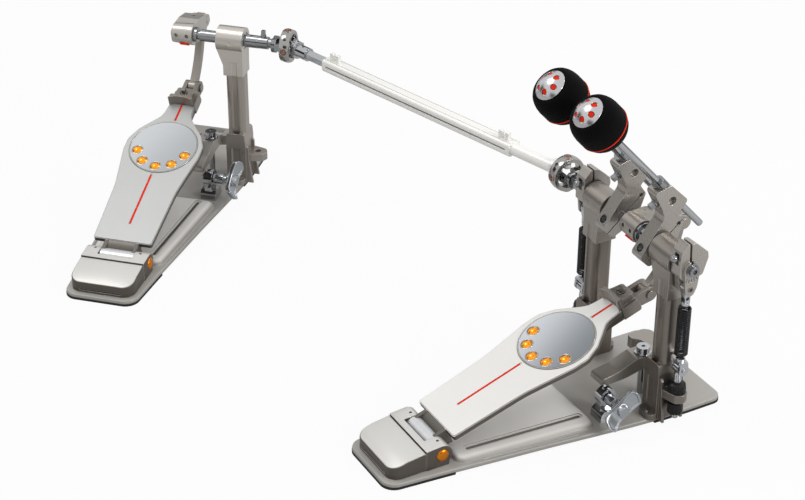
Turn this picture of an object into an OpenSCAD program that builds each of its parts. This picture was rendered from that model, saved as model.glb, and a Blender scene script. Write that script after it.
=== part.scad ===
// Double bass drum pedal: a main pedal with two beaters and a slave pedal, joined by
// a telescopic rod with two universal joints. Millimetres, +Z up. The origin lies on
// the floor under the main shaft, in the middle of the main footboard: +X runs along
// the shaft to the drummer's right and +Y points at the drum.

/* [Layout] */
// Height of both rotor shafts above the floor
shaft_z = 204; // [200:1:214]
// Distance from a pedal's centre plane to the middle of its bearing post
post_x = 67.5; // [67:0.5:74]
// Distance from the main pedal's centre plane to its universal joint
main_joint_x = 136; // [134:1:160]
// Distance from the slave pedal's centre plane to its universal joint
slave_joint_x = 137.4; // [134:0.2:160]
// Length of the connecting rod between the two joint centres
rod_len = 464; // [440:1:520]
// Plan angle between the connecting rod and the main shaft
rod_yaw = 15.7; // [5:0.1:24]
// Plan angle of the slave pedal
slave_yaw = 45.9; // [36:0.1:54]

/* [Base plate] */
// Distance from the shaft to the plate's heel end
plate_back = 328; // [322:1:345]
// Distance from the shaft to the plate's drum end
plate_front = 76; // [66:1:90]
// Width of the plate at the heel
plate_heel_w = 94; // [88:1:110]
// Width of the plate at the towers
plate_toe_w = 156; // [150:1:180]
// Thickness of the plate
plate_t = 5; // [4:0.5:6]
// Height of the plate's raised panel
panel_h = 6; // [4:0.5:7]
// Thickness of the rubber pads under the plate
pad_t = 2; // [1.5:0.5:4]

/* [Heel] */
// Distance from the shaft to the heel hinge
hinge_back = 259.5; // [255:0.5:264]
// Height of the heel hinge
hinge_z = 21; // [20.5:0.5:24]
// Width across the heel block
heel_w = 81; // [76:1:86]
// Width of the cut-out that holds the hinge roller
roller_w = 44; // [36:1:50]
// Radius of the polished roller
roller_r = 9; // [7:0.5:9.5]
// Radius of the block around the hinge
heel_r = 12; // [11.5:0.25:13]
// Radius of the amber cap on each side
cap_r = 7.5; // [6:0.25:8.5]

/* [Footboard] */
// Slope of the footboard at rest
board_tilt = 19.1; // [17:0.1:21]
// Thickness of the footboard's edge
board_t = 6; // [5:0.5:7]
// Length of the footboard
board_len = 234.4; // [228:0.2:240]
// Width of the footboard at its heel end
board_heel_w = 75; // [68:1:80]
// Width of the footboard at its widest
board_max_w = 100.6; // [98:0.2:108]
// Width of the toe neck
board_neck_w = 33; // [32:0.5:38]
// Width of the inlaid centre line
line_w = 2.8; // [2:0.2:3.4]
// Distance from the heel end of the board to the middle of the disc
disc_s = 158.2; // [150:0.2:164]
// Radius of the mirror disc
disc_r = 44; // [40:0.5:46]
// Radius of the arc that the domes sit on
dome_arc_r = 33; // [28:0.5:36]
// Radius of one dome
dome_r = 6.3; // [5:0.1:7]
// Height of the toe stop above the board
stop_h = 14; // [11:0.5:15]

/* [Linkage] */
// Distance from the heel end of the board to the clevis pin, along the board
clevis_s = 275.2; // [272:0.2:280]
// Depth of the clevis pin below the board's top face
clevis_n = 9.5; // [8:0.5:12]
// Distance from the shaft to the crank pin, toward the drum
crank_y = 57; // [54:0.5:60]
// Height of the crank pin below the shaft
crank_drop = 6; // [4:0.5:8]
// Radius of the crank's barrel round the shaft
barrel_r = 14; // [13:0.25:15]
// Radius of the crank pin
crank_pin_r = 3; // [2.5:0.25:3.5]
// Play of the link's upper eye round the crank pin
eye_play = 2.2; // [2.1:0.1:2.6]
// Width of the link
link_w = 9; // [7:0.5:9.5]
// How far the link bows away from the straight line
link_bow = 8; // [4:0.5:10]

/* [Towers] */
// Width of a tower's base block across the shaft's direction
tower_w = 26; // [24:1:28]
// Height of the base block's top
tower_top = 77; // [74:1:84]
// Width of the bearing post
post_w = 24; // [20:1:25]
// Height of the post's top, where the bearing head starts
post_top = 158; // [150:1:164]
// Outer radius of a bearing head
head_r = 16.5; // [15:0.5:19]
// Length of a bearing head along the shaft
head_len = 34.6; // [30:0.2:34.6]
// Radius of the rotor shafts
shaft_r = 6; // [5:0.25:6.5]
// Radius of the hole in a tower's spring lug
lug_hole_r = 4; // [3.5:0.25:5]

/* [Springs] */
// Distance from a pedal's centre plane to its spring
spring_x = 94; // [93.5:0.25:95]
// Outer radius of the spring
spring_r = 7.4; // [6:0.2:8]
// Radius of the spring's wire
wire_r = 0.95; // [0.8:0.05:1]
// Number of turns of one spring
spring_turns = 24; // [18:1:25]
// Height of the spring's lower pivot
swivel_z = 78; // [77:0.5:82]
// Distance from the shaft down to the spring lever's pin
lever_arm = 24; // [22:0.5:26]

/* [Beaters] */
// Distance from the main pedal's centre plane to the middle of a beater hub
hub_x = 34.5; // [34:0.25:35]
// Width of a beater hub
hub_w = 17; // [15:0.5:17]
// Radius of a beater rod
beater_rod_r = 4; // [3:0.25:5]
// Distance from the hub to the middle of the beater, along the rod
beater_reach = 173; // [150:1:185]
// Largest radius of the beater's felt
felt_r = 27.5; // [25:0.5:33]
// Length of the beater along the rod
felt_len = 48; // [44:1:56]
// Angle of the beater rod from the vertical at rest
beater_lean = 42; // [38:0.5:46]

/* [Drive] */
// Outer radius of a universal joint's ring
ring_r = 20.5; // [19.5:0.25:24]
// Width of a universal joint's ring
ring_w = 13; // [9:0.5:13]
// Distance from the slave joint to the start of the telescopic tube
tube_start = 72; // [66:1:90]
// Distance from the main joint to the end of the telescopic tube
tube_end = 80; // [50:1:90]
// Width of the tube's flats
tube_w = 19; // [17:0.5:22]
// Radius over the corners of the sliding bar in the tube
bar_r = 7; // [6:0.25:7.5]

/* [Hoop clamp] */
// Distance from the centre plane to the key bolt
key_x = 28; // [27:0.5:30]
// Height of the clamp jaw's top
jaw_top = 55; // [52:1:56]
// Height of the hoop gap above the plate
hoop_gap = 31; // [28:1:34]
// Distance from the shaft to the wing bolt's axis, toward the heel
wing_y = 60; // [56:0.5:64]
// Height of the wing bolt's axis
wing_z = 34; // [33:0.5:38]
// Length of the wing bolt's blade
wing_len = 50; // [40:1:50]

/* [Hidden] */

$fn = 48;
fit = 0.05;             // running and press fits, radial
gap = 0.4;              // open gaps between pieces that move past each other
plate_top = pad_t + plate_t;
hinge_y = -hinge_back;
board_y = hinge_y + 14.3;
board_z = hinge_z + 17;
deck = "#e1dfdb";
cast = "#bdb9b3";
taupe = "#979088";
steel = "#c9ccd0";
dark = "#1c1c1e";

// Ends of the linkage in a pedal's own (y, z) plane
clevis_p = [board_y + clevis_s * cos(board_tilt) + clevis_n * sin(board_tilt),
  board_z + clevis_s * sin(board_tilt) - clevis_n * cos(board_tilt)];
crank_p = [crank_y, shaft_z - crank_drop];

// ---- outlines ----
function unit(v) = v / norm(v);
function xy(p) = [p[0], p[1]];
function turned(a) = a > 180 ? a - 360 : a < -180 ? a + 360 : a;
function corner(a, b, c, r) =
  let (u = unit(a - b), v = unit(c - b), half = acos(u * v) / 2,
    s = b + u * r / tan(half), e = b + v * r / tan(half), m = b + unit(u + v) * r / sin(half),
    a0 = atan2(s.y - m.y, s.x - m.x),
    sweep = turned(atan2(e.y - m.y, e.x - m.x) - a0), n = max(2, ceil(abs(sweep) / 12)))
  [for (i = [0:n]) m + r * [cos(a0 + sweep * i / n), sin(a0 + sweep * i / n)]];
// Closed outline through [x, y, corner radius] points
function rounded(p) = let (n = len(p)) [for (i = [0:n - 1])
  each (len(p[i]) < 3 || p[i][2] == 0 ? [xy(p[i])]
    : corner(xy(p[(i + n - 1) % n]), xy(p[i]), xy(p[(i + 1) % n]), p[i][2]))];
// Both sides of an outline that is given as [half width, station, corner radius]
function both_sides(p) = let (n = len(p)) concat([for (q = p) q],
  [for (i = [n - 1:-1:0]) [-p[i][0], p[i][1], len(p[i]) > 2 ? p[i][2] : 0]]);
// Bowed centre line from a to b, and a band of half width w round it
function bow_point(a, b, bow, t) =
  let (u = unit(b - a)) a + (b - a) * t + [u.y, -u.x] * bow * 4 * t * (1 - t);
function band(c, w) = let (n = len(c) - 1,
    nrm = [for (i = [0:n]) let (u = unit(c[min(i + 1, n)] - c[max(i - 1, 0)])) [u.y, -u.x]])
  concat([for (i = [0:n]) c[i] + nrm[i] * w], [for (i = [n:-1:0]) c[i] - nrm[i] * w]);

// Round-ended slot of width w from a to b
module slot2d(a, b, w) {
  turn = atan2(b.y - a.y, b.x - a.x);
  polygon(concat([for (i = [-9:9]) b + w / 2 * [cos(turn + 10 * i), sin(turn + 10 * i)]],
    [for (i = [9:27]) a + w / 2 * [cos(turn + 10 * i), sin(turn + 10 * i)]]));
}
module rrect2d(w, d, r) {
  square([w - 2 * r, d], center = true);
  square([w, d - 2 * r], center = true);
  for (x = [-1, 1], y = [-1, 1]) translate([x * (w / 2 - r), y * (d / 2 - r)]) circle(r);
}
// Outline in the (y, z) plane, extruded from x0 to x1
module slab_x(x0, x1) {
  translate([x0, 0, 0]) rotate([90, 0, 90]) linear_extrude(x1 - x0) children();
}
// Outline in the (x, z) plane, extruded from y0 to y1
module slab_y(y0, y1) {
  translate([0, y1, 0]) rotate([90, 0, 0]) linear_extrude(y1 - y0) children();
}
module cyl_x(x0, x1, r) {
  translate([x0, 0, 0]) rotate([0, 90, 0]) cylinder(h = x1 - x0, r = r);
}
module cyl_z(z0, z1, r) { translate([0, 0, z0]) cylinder(h = z1 - z0, r = r); }

// ---- frames ----
module on_shaft() { translate([0, 0, shaft_z]) children(); }
module on_board() { translate([0, board_y, board_z]) rotate([board_tilt, 0, 0]) children(); }
module left_side() { mirror([1, 0, 0]) children(); }
module at_slave() {
  translate([-main_joint_x, 0, 0]) rotate([0, 0, rod_yaw]) translate([-rod_len, 0, 0])
    rotate([0, 0, slave_yaw - rod_yaw]) translate([-slave_joint_x, 0, 0]) children();
}
module at_rod() {
  translate([-main_joint_x, 0, shaft_z]) rotate([0, 0, rod_yaw]) translate([-rod_len, 0, 0])
    children();
}

// ---- base plate and pads ----
function plate_half(y) = y > -10 ? plate_toe_w / 2
  : plate_toe_w / 2 - (plate_toe_w - plate_heel_w) / 2 * (-10 - y) / (plate_back - 26);
module plate_outline(inset) {
  polygon(rounded(both_sides([
    [plate_half(-plate_back) - inset - 1, -plate_back + inset, 15],
    [plate_half(-200) - inset - 3, -200, 90],
    [plate_half(-10) - inset, -10, 60],
    [plate_half(0) - inset, plate_front - inset, 12]])));
}
module raised_panel(inset) {
  polygon(rounded(both_sides([
    [plate_half(-242) - 7 - inset, -244 + inset, 10],
    [plate_half(-84) - 9 - inset, -78 - inset, 12]])));
}
module base_plate() {
  color(cast) difference() {
    union() {
      translate([0, 0, pad_t]) linear_extrude(plate_t - 1) plate_outline(0);
      translate([0, 0, plate_top - 1]) linear_extrude(1) plate_outline(1);
      // raised panel with eased edges
      for (k = [[0, 0.35], [1.6, 0.6], [3.4, 0.8], [5.4, 0.93], [7.6, 1]])
        translate([0, 0, plate_top - 0.5]) linear_extrude(0.5 + k[1] * panel_h) raised_panel(k[0]);
    }
    for (side = [-1, 1]) {
      translate([0, 0, plate_top + panel_h - 1]) linear_extrude(2)
        slot2d([side * 31, -226], [side * 40, -88], 9);
      translate([0, 0, pad_t - 1]) linear_extrude(plate_t + panel_h + 2)
        slot2d([side * 31.2, -224], [side * 39.8, -90], 4);
    }
    // hollow under the panel
    translate([0, 0, pad_t - 1]) linear_extrude(1 + panel_h) raised_panel(14);
  }
}
module rubber_pads() {
  color(dark) {
    linear_extrude(pad_t) intersection() {
      plate_outline(0.8);
      translate([-200, -plate_back]) square([400, 78]);
    }
    linear_extrude(pad_t) intersection() {
      plate_outline(0.8);
      translate([-200, -14]) square([400, plate_front + 20]);
    }
  }
}

// ---- heel block, hinge and caps ----
cover_y = hinge_y - 19.5;
cap_seat = 1.2;
set_screw_x = 29;
module heel_block() {
  color(cast) {
    difference() {
      slab_x(-heel_w / 2, heel_w / 2) {
        translate([hinge_y, hinge_z]) circle(heel_r);
        polygon([[cover_y + gap / 2, plate_top], [hinge_y + 8, plate_top], [hinge_y + 8, hinge_z],
          [hinge_y, hinge_z + heel_r], [cover_y + gap / 2, hinge_z + heel_r - 1]]);
      }
      translate([-roller_w / 2, hinge_y - heel_r, plate_top - 1])
        cube([roller_w, 3 * heel_r, hinge_z + heel_r]);
      translate([0, hinge_y, hinge_z]) {
        cyl_x(-heel_w, heel_w, 5 + fit);
        for (side = [0, 1]) mirror([side, 0, 0]) {
          cyl_x(heel_w / 2 - cap_seat, heel_w / 2 + 1, cap_r + 0.1);
          translate([set_screw_x, 0, 0]) cyl_z(0, heel_r + 1, 2.4);
        }
      }
    }
    intersection() {
      slab_x(-heel_w / 2 + 0.5, heel_w / 2 - 0.5)
        polygon(rounded([[cover_y - gap / 2, plate_top], [cover_y - gap / 2, hinge_z + heel_r - 3],
          [cover_y - 22, hinge_z + 5.5, 30], [cover_y - 43, hinge_z - 1, 4],
          [cover_y - 41, hinge_z - 7, 2], [cover_y - 37, hinge_z - 8.5, 2],
          [cover_y - 37, plate_top + 3, 1], [cover_y - 42, plate_top]]));
      linear_extrude(60) polygon(rounded(both_sides([[heel_w / 2 - 0.5, cover_y - 43, 15],
        [heel_w / 2 - 0.5, cover_y + 1]])));
    }
  }
}
module hinge_pin() {
  color(steel) translate([0, hinge_y, hinge_z]) {
    cyl_x(-roller_w / 2 + fit, roller_w / 2 - fit, roller_r);
    cyl_x(-heel_w / 2 + cap_seat + 0.2, heel_w / 2 - cap_seat - 0.2, 5);
  }
}
module side_caps() {
  color("#f0a020") translate([0, hinge_y, hinge_z]) for (side = [0, 1]) mirror([side, 0, 0])
    intersection() {
      cyl_x(heel_w / 2 - cap_seat, heel_w / 2 + 3, cap_r);
      translate([heel_w / 2 + 2 - 30, 0, 0]) sphere(30, $fn = 96);
    }
}

// ---- footboard ----
module board_outline(inset) {
  hw = board_heel_w / 2 - inset;
  mw = board_max_w / 2 - inset;
  nw = board_neck_w / 2 - inset;
  polygon(rounded(both_sides([
    [hw, inset, 3], [hw + 3, 88, 120], [mw, 148, 30], [mw, 166, 12], [mw - 8, 184, 10],
    [nw + 2.5, 212, 22], [nw, board_len - inset, 2]])));
}
module footboard() {
  color(deck) difference() {
    union() {
      on_board() {
        translate([0, 0, -board_t]) linear_extrude(board_t - 0.8) board_outline(0);
        translate([0, 0, -0.8]) linear_extrude(0.8) board_outline(0.8);
        // stiffening flanges under the toe neck
        for (side = [-1, 1]) slab_x(side * (board_neck_w / 2 - 3) - 1.5,
            side * (board_neck_w / 2 - 3) + 1.5)
          polygon([[120, 1 - board_t], [board_len, 1 - board_t], [board_len, -board_t - 9],
            [board_len - 44, -board_t - 9]]);
      }
      // knuckles at both ends of the roller
      for (side = [-1, 1]) translate([side * (roller_w / 2 - 2.4), 0, 0]) slab_x(-2, 2) {
        translate([hinge_y, hinge_z]) circle(roller_r + 2.2);
        polygon([[hinge_y + 1, hinge_z + roller_r + 2.1], [board_y + 1, board_z - 0.5],
          [board_y + 16, board_z + 5 - board_t], [board_y + 13, board_z + 1 - board_t],
          [hinge_y + 6, hinge_z - roller_r + 1]]);
      }
    }
    on_board() {
      // hollow underside
      translate([0, 0, -board_t - 1]) linear_extrude(board_t - 2.6) difference() {
        board_outline(5);
        translate([-80, board_len - 38]) square([160, 80]);
        translate([-80, -1]) square([160, 22]);
        translate([0, disc_s]) circle(disc_r - 6);
      }
      // seat of the disc and of its domes
      translate([0, disc_s, 0]) {
        cyl_z(-1, 1, disc_r);
        for (i = [-2:2]) rotate(-90 + 36 * i) translate([dome_arc_r, 0, 0])
          cyl_z(-3, 1, dome_r + 0.1);
      }
      // inlaid centre line
      translate([0, 0, -0.5]) linear_extrude(2) {
        slot2d([0, 29], [0, disc_s - disc_r - 3.6], line_w);
        slot2d([0, disc_s + disc_r + 3], [0, board_len - 2], line_w);
      }
    }
    translate([0, hinge_y, hinge_z]) cyl_x(-roller_w, roller_w, roller_r + fit);
  }
}
module disc() {
  color("#9aa3ad") on_board() translate([0, disc_s, 0]) difference() {
    union() {
      cyl_z(-1, 0.2, disc_r - 0.1);
      cyl_z(-1, 0.6, disc_r - 1.4);
    }
    for (i = [-2:2]) rotate(-90 + 36 * i) translate([dome_arc_r, 0, 0])
      cyl_z(-3, 1, dome_r + 0.1);
  }
}
module domes() {
  color("#ffa520") on_board() translate([0, disc_s, 0]) for (i = [-2:2]) rotate(-90 + 36 * i)
    translate([dome_arc_r, 0, 0]) intersection() {
      cyl_z(-3, 4, dome_r);
      translate([0, 0, -5.2]) sphere(8.4);
    }
}
clevis_in = link_w / 2 + 0.5;
stop_sag = 3.6;
stop_half = board_neck_w / 2 - 0.2;
stop_arc = (stop_half * stop_half + stop_sag * stop_sag) / 2 / stop_sag;
module toe_block() {
  bend = asin(stop_half / stop_arc);
  color(deck) on_board() difference() {
    union() {
      // block that closes the board's toe
      slab_x(-stop_half, stop_half)
        polygon(rounded([[board_len + 0.6, -board_t - 9], [board_len + 0.6, 0.4],
          [board_len + 22, 0.4, 2], [board_len + 24, -board_t - 9, 3]]));
      // toe stop, hollow toward the heel and flared into two horns
      translate([0, board_len, 0.1]) linear_extrude(stop_h) polygon(concat(
        [for (i = [-8:8]) stop_arc * [sin(bend * i / 8), cos(bend * i / 8) - 1]],
        rounded([[stop_half, 0, 1], [11.6, 6, 10], [11, 22, 3], [-11, 22, 3], [-11.6, 6, 10],
          [-stop_half, 0, 1]])));
      // tongue under the board
      slab_x(-board_neck_w / 2 + 5, board_neck_w / 2 - 5)
        polygon([[board_len - 34, -board_t - 5], [board_len + 2, -board_t - 7],
          [board_len + 2, -board_t], [board_len - 34, -board_t]]);
      // clevis ears
      for (side = [-1, 1]) slab_x(side * (clevis_in + 2.5) - 2.5, side * (clevis_in + 2.5) + 2.5) {
        translate([clevis_s, -clevis_n]) circle(9);
        polygon([[board_len + 18, 0.2], [clevis_s + 1, 9 - clevis_n], [clevis_s - 1, -9 - clevis_n],
          [board_len + 16, -board_t - 9]]);
      }
    }
    translate([0, clevis_s, -clevis_n]) cyl_x(-20, 20, 4 + fit);
    // room for the link's lower eye
    translate([-clevis_in, clevis_s, -clevis_n]) rotate([0, 90, 0])
      cylinder(h = 2 * clevis_in, r = 14);
    // hollow behind the stop, and the pocket of its screw
    slab_x(-30, 30) polygon([[board_len + 3, stop_h + 1], [board_len + 5.5, stop_h - 4],
      [board_len + 30, stop_h - 8], [board_len + 30, stop_h + 1]]);
    translate([0, board_len + 12.5, 0]) cyl_z(stop_h - 7.5, stop_h + 2, 5.4);
  }
}
module clevis_pin() {
  color(steel) on_board() {
    translate([0, clevis_s, -clevis_n]) {
      cyl_x(-clevis_in - 6.5, clevis_in + 6.5, 4);
      for (side = [-1, 1]) translate([side * (clevis_in + 6.05), 0, 0]) cyl_x(-1, 1, 5.4);
    }
    translate([0, board_len + 12.5, stop_h - 7.48]) {
      cyl_z(0, 2.5, 4.2);
      translate([-2.5, -2.5, 2.4]) cube([5, 5, 6.5]);
    }
  }
}

// ---- link and crank ----
module link() {
  line = [for (i = [0:16]) bow_point(clevis_p, crank_p, link_bow, i / 16)];
  color(cast) slab_x(-link_w / 2, link_w / 2) difference() {
    union() {
      polygon(band(line, 5));
      translate(clevis_p) circle(9);
      translate(crank_p) circle(crank_pin_r + eye_play + 3.8);
    }
    translate(clevis_p) circle(4 + fit);
    translate(crank_p) circle(crank_pin_r + eye_play);
  }
}
fork_in = link_w / 2 + 0.9;
module crank() {
  back = crank_y - 12;
  color(cast) difference() {
    on_shaft() {
      rotate([0, 90, 0]) translate([0, 0, -14]) cylinder(h = 27, r1 = barrel_r - 1.4, r2 = barrel_r);
      slab_x(-14, 13) polygon(rounded([[0, 2 - barrel_r], [0, barrel_r - 1.8], [18, 13.4, 10],
        [back - 2, 9, 4], [back, -13, 3], [back - 14, -13, 8], [9, -11.6, 6]]));
      for (side = [-1, 1]) slab_x(side * (fork_in + 2.1) - 2.1, side * (fork_in + 2.1) + 2.1) {
        translate([crank_y, -crank_drop]) circle(8);
        polygon([[back - 3, 8], [crank_y + 1, 8 - crank_drop], [crank_y - 1, -8 - crank_drop],
          [back - 3, -13]]);
      }
    }
    on_shaft() {
      cyl_x(-20, 20, shaft_r + fit);
      for (side = [-1, 1]) translate([side * 7.2 - 0.5, -barrel_r - 1, 2]) rotate([-90, 0, 0])
        cylinder(h = 6.5, r = 2.5);
      translate([0, 33, 0]) cyl_z(7, 20, 3.6, $fn = 6);
      // room for the link's upper eye
      translate([0, crank_y, -crank_drop]) cyl_x(-fork_in, fork_in, 13);
    }
  }
  color(steel) on_shaft() translate([0, crank_y, -crank_drop]) {
    cyl_x(-fork_in - 5, fork_in + 5, crank_pin_r);
    for (side = [-1, 1]) translate([side * (fork_in + 4.7), 0, 0]) cyl_x(-0.9, 0.9, 5);
  }
}

// ---- towers ----
tower_in = post_x - tower_w / 2;
tower_out = post_x + tower_w / 2;
lug_x = spring_x - 2;
lug_z0 = 38;
lug_z1 = 48;
module tower() {
  color(taupe) difference() {
    union() {
      slab_y(-16.5, 16.5) polygon(rounded([[tower_in, plate_top], [tower_in, tower_top - 12, 14],
        [post_x - post_w / 2, tower_top, 3], [post_x + post_w / 2, tower_top, 3],
        [tower_out, tower_top - 12, 14], [tower_out, plate_top]]));
      // foot of the block, with its two bolt bosses
      translate([post_x, 0, plate_top]) linear_extrude(7) rrect2d(tower_w - 2, 50, 8);
      // ribs on the outer side
      for (y = [-12, 12]) slab_y(y - 1.5, y + 1.5)
        polygon([[tower_out - 1, plate_top], [tower_out + 8, plate_top], [tower_out + 3, lug_z0],
          [tower_out + 2.5, tower_top - 20], [tower_out - 1, tower_top - 16]]);
      // spring lug
      translate([0, 0, lug_z0]) linear_extrude(lug_z1 - lug_z0)
        polygon(rounded([[tower_out - 2, -13], [tower_out + 6, -12, 4], [lug_x + 9, -8, 5],
          [lug_x + 13, 0, 6], [lug_x + 9, 8, 5], [tower_out + 6, 12, 4], [tower_out - 2, 13]]));
      // post
      translate([post_x, 0, tower_top - 1]) linear_extrude(post_top - tower_top + 1)
        rrect2d(post_w, 24, 7);
    }
    // groove down both broad faces of the post and block
    for (side = [-1, 1]) {
      translate([post_x, side * 13, tower_top - 20]) linear_extrude(200) rrect2d(9, 5, 2);
      translate([post_x, side * 17.5, plate_top + 16]) linear_extrude(tower_top - 44)
        rrect2d(12, 5, 2);
    }
    translate([lug_x, 0, 0]) cyl_z(lug_z0 - 1, lug_z1 + 1, lug_hole_r);
    for (side = [-1, 1]) translate([post_x, side * 20.5, 0]) cyl_z(plate_top + 4, plate_top + 9, 3);
  }
}
module head() {
  color(taupe) difference() {
    union() {
      on_shaft() cyl_x(tower_out - head_len, tower_out, head_r);
      slab_y(-13, 13) polygon(rounded([[post_x - post_w / 2 - 1.5, post_top],
        [post_x - post_w / 2 - 1.5, post_top + 14, 5],
        [tower_out - head_len, shaft_z - 10, 6], [tower_out - head_len, shaft_z],
        [tower_out, shaft_z], [tower_out, shaft_z - 10, 6], [post_x + post_w / 2 + 0.5, post_top + 14, 5],
        [post_x + post_w / 2 + 0.5, post_top]]));
    }
    on_shaft() cyl_x(tower_out - head_len - 1, tower_out + 1, head_r - 5.5);
    for (side = [-1, 1]) {
      translate([post_x, side * 14, post_top - 1]) linear_extrude(20) rrect2d(9, 5, 2);
      translate([post_x - 2, side * 19, shaft_z]) rotate([90, 0, 0])
        translate([0, 0, -3]) cylinder(h = 6, r = 3);
    }
  }
}
module bearings() {
  color(steel) on_shaft() for (x = [tower_out - head_len + 0.8, tower_out - 8.8]) difference() {
    cyl_x(x, x + 8, head_r - 5.5 - fit);
    cyl_x(x - 1, x + 9, shaft_r + fit);
    translate([x, 0, 0]) for (f = [-0.4, 7.6]) difference() {
      cyl_x(f, f + 0.8, head_r - 7);
      cyl_x(f - 1, f + 2, shaft_r + 1.4);
    }
  }
}

// ---- springs and their adjusters ----
swivel_top = swivel_z + 14;
spring_top_z = shaft_z - lever_arm - 21.4;
module spring_rod() {
  translate([spring_x, 0, 0]) {
    translate([-2, 0, 0]) cyl_z(14, swivel_z - 5, lug_hole_r - 0.1);
    translate([0, 0, swivel_z]) {
      cyl_x(-5.8, 4.2, 5.5);
      cyl_x(-9, 9, 2.5);
    }
  }
}
module tension_knobs() {
  translate([lug_x, 0, 0]) {
    color(dark) difference() {
      union() {
        cyl_z(lug_z1 + 0.3, lug_z1 + 7, 10);
        translate([0, 0, lug_z1 + 7]) rotate_extrude()
          polygon([[0, 0], [10, 0], [9.2, 2.6], [7, 4.4], [5, 5], [0, 5]]);
      }
      cyl_z(lug_z1, lug_z1 + 15, lug_hole_r - 0.1 + fit);
      for (i = [0:11]) rotate(30 * i) translate([10.6, 0, 0]) cyl_z(lug_z1, lug_z1 + 15, 1.2);
    }
    color(dark) difference() {
      union() {
        cyl_z(lug_z0 - 17, lug_z0 - 4, 8.5);
        cyl_z(lug_z0 - 4, lug_z0 - 2, 6.5);
      }
      cyl_z(lug_z0 - 18, lug_z0, lug_hole_r - 0.1 + fit);
      for (i = [0:11]) rotate(30 * i) translate([9, 0, 0]) cyl_z(lug_z0 - 18, lug_z0 - 6, 1.1);
    }
    color(steel) difference() {
      cyl_z(lug_z0 - 1.9, lug_z0 - 0.3, 7);
      cyl_z(lug_z0 - 3, lug_z0, lug_hole_r - 0.1 + fit);
    }
  }
}
module spring_swivel() {
  color(steel) translate([spring_x, 0, 0]) difference() {
    union() {
      for (x = [-9.2, 4.6]) slab_x(x, x + 3) {
        translate([0, swivel_z]) circle(6);
        polygon([[-6, swivel_z], [6, swivel_z], [5, swivel_top - 4], [-5, swivel_top - 4]]);
      }
      translate([-2.4, 0, swivel_top - 6]) linear_extrude(3) rrect2d(20, 10, 2);
      cyl_z(swivel_top - 3, swivel_top, 5.2);
    }
    translate([0, 0, swivel_z]) cyl_x(-12, 12, 2.5 + fit);
  }
}
module spring_fork() {
  top = shaft_z - lever_arm;
  color(steel) translate([spring_x, 0, 0]) difference() {
    union() {
      slab_x(-3.4, 3.4) {
        translate([0, top]) circle(6);
        polygon([[-6, top], [6, top], [3.4, top - 12], [3.4, spring_top_z + 2],
          [-3.4, spring_top_z + 2], [-3.4, top - 12]]);
      }
      cyl_z(spring_top_z, spring_top_z + 3, 4.6);
    }
    translate([0, 0, top]) cyl_x(-5, 5, 2.5 + fit);
    translate([0, 0, top - 13]) cyl_x(-5, 5, 2.2);
  }
}

// One unbroken wire: straight ends on the axis, a half turn out to the coil at each end
coil_r = spring_r - wire_r;
end_run = 2 * wire_r;
end_rise = 2.6;
coil_z0 = swivel_top + end_run + end_rise;
coil_pitch = (spring_top_z - end_run - end_rise - coil_z0) / spring_turns;
coil_steps = 8;
half = coil_steps / 2;
function coil_at(i) = let (n = spring_turns * coil_steps,
    a = 360 / coil_steps * max(0, min(i, n + 2 * half)),
    k = i < half ? i / half : i > n + half ? (n + 2 * half - i) / half : 1,
    z = i < half ? coil_z0 - end_rise * (1 - k)
      : i > n + half ? spring_top_z - end_run - end_rise * k
      : coil_z0 + coil_pitch * (i - half) / coil_steps)
  [coil_r * sin(90 * k) * cos(a), coil_r * sin(90 * k) * sin(a), z, a];
coil = concat([[0, 0, swivel_top, 0]],
  [for (i = [0:spring_turns * coil_steps + 2 * half]) coil_at(i)],
  [[0, 0, spring_top_z, 360 / coil_steps * (spring_turns * coil_steps + 2 * half)]]);
function xyz(p) = [p[0], p[1], p[2]];
function wire_ring(path, i, r, sides) = let (n = len(path) - 1, p = xyz(path[i]),
    t = i == 0 || i == n ? [0, 0, 1] : unit(xyz(path[i + 1]) - xyz(path[i - 1])),
    e = [cos(path[i][3]), sin(path[i][3]), 0], u = unit(e - t * (e * t)), v = cross(t, u))
  [for (s = [0:sides - 1]) p + r * (u * cos(360 * s / sides) + v * sin(360 * s / sides))];
module wire(path, r, sides = 6) {
  n = len(path) - 1;
  points = [for (i = [0:n]) each wire_ring(path, i, r, sides)];
  quads = [for (i = [0:n - 1], s = [0:sides - 1]) let (a = i * sides + s,
    b = i * sides + (s + 1) % sides) [[a, a + sides, b], [b, a + sides, b + sides]]];
  polyhedron(points = points, faces = concat([for (q = quads) each q],
    [for (s = [1:sides - 2]) [0, s, s + 1]],
    [for (s = [1:sides - 2]) [n * sides, n * sides + s + 1, n * sides + s]]));
}
coil_gap = min([for (i = [1:len(coil) - 2], j = [i + 6:min(i + 11, len(coil) - 2)])
  norm(xyz(coil[i]) - xyz(coil[j]))]) - 2 * wire_r;
echo(spring_least_gap_to_itself = coil_gap);
module spring() { color(dark) translate([spring_x, 0, 0]) wire(coil, wire_r); }

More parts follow.
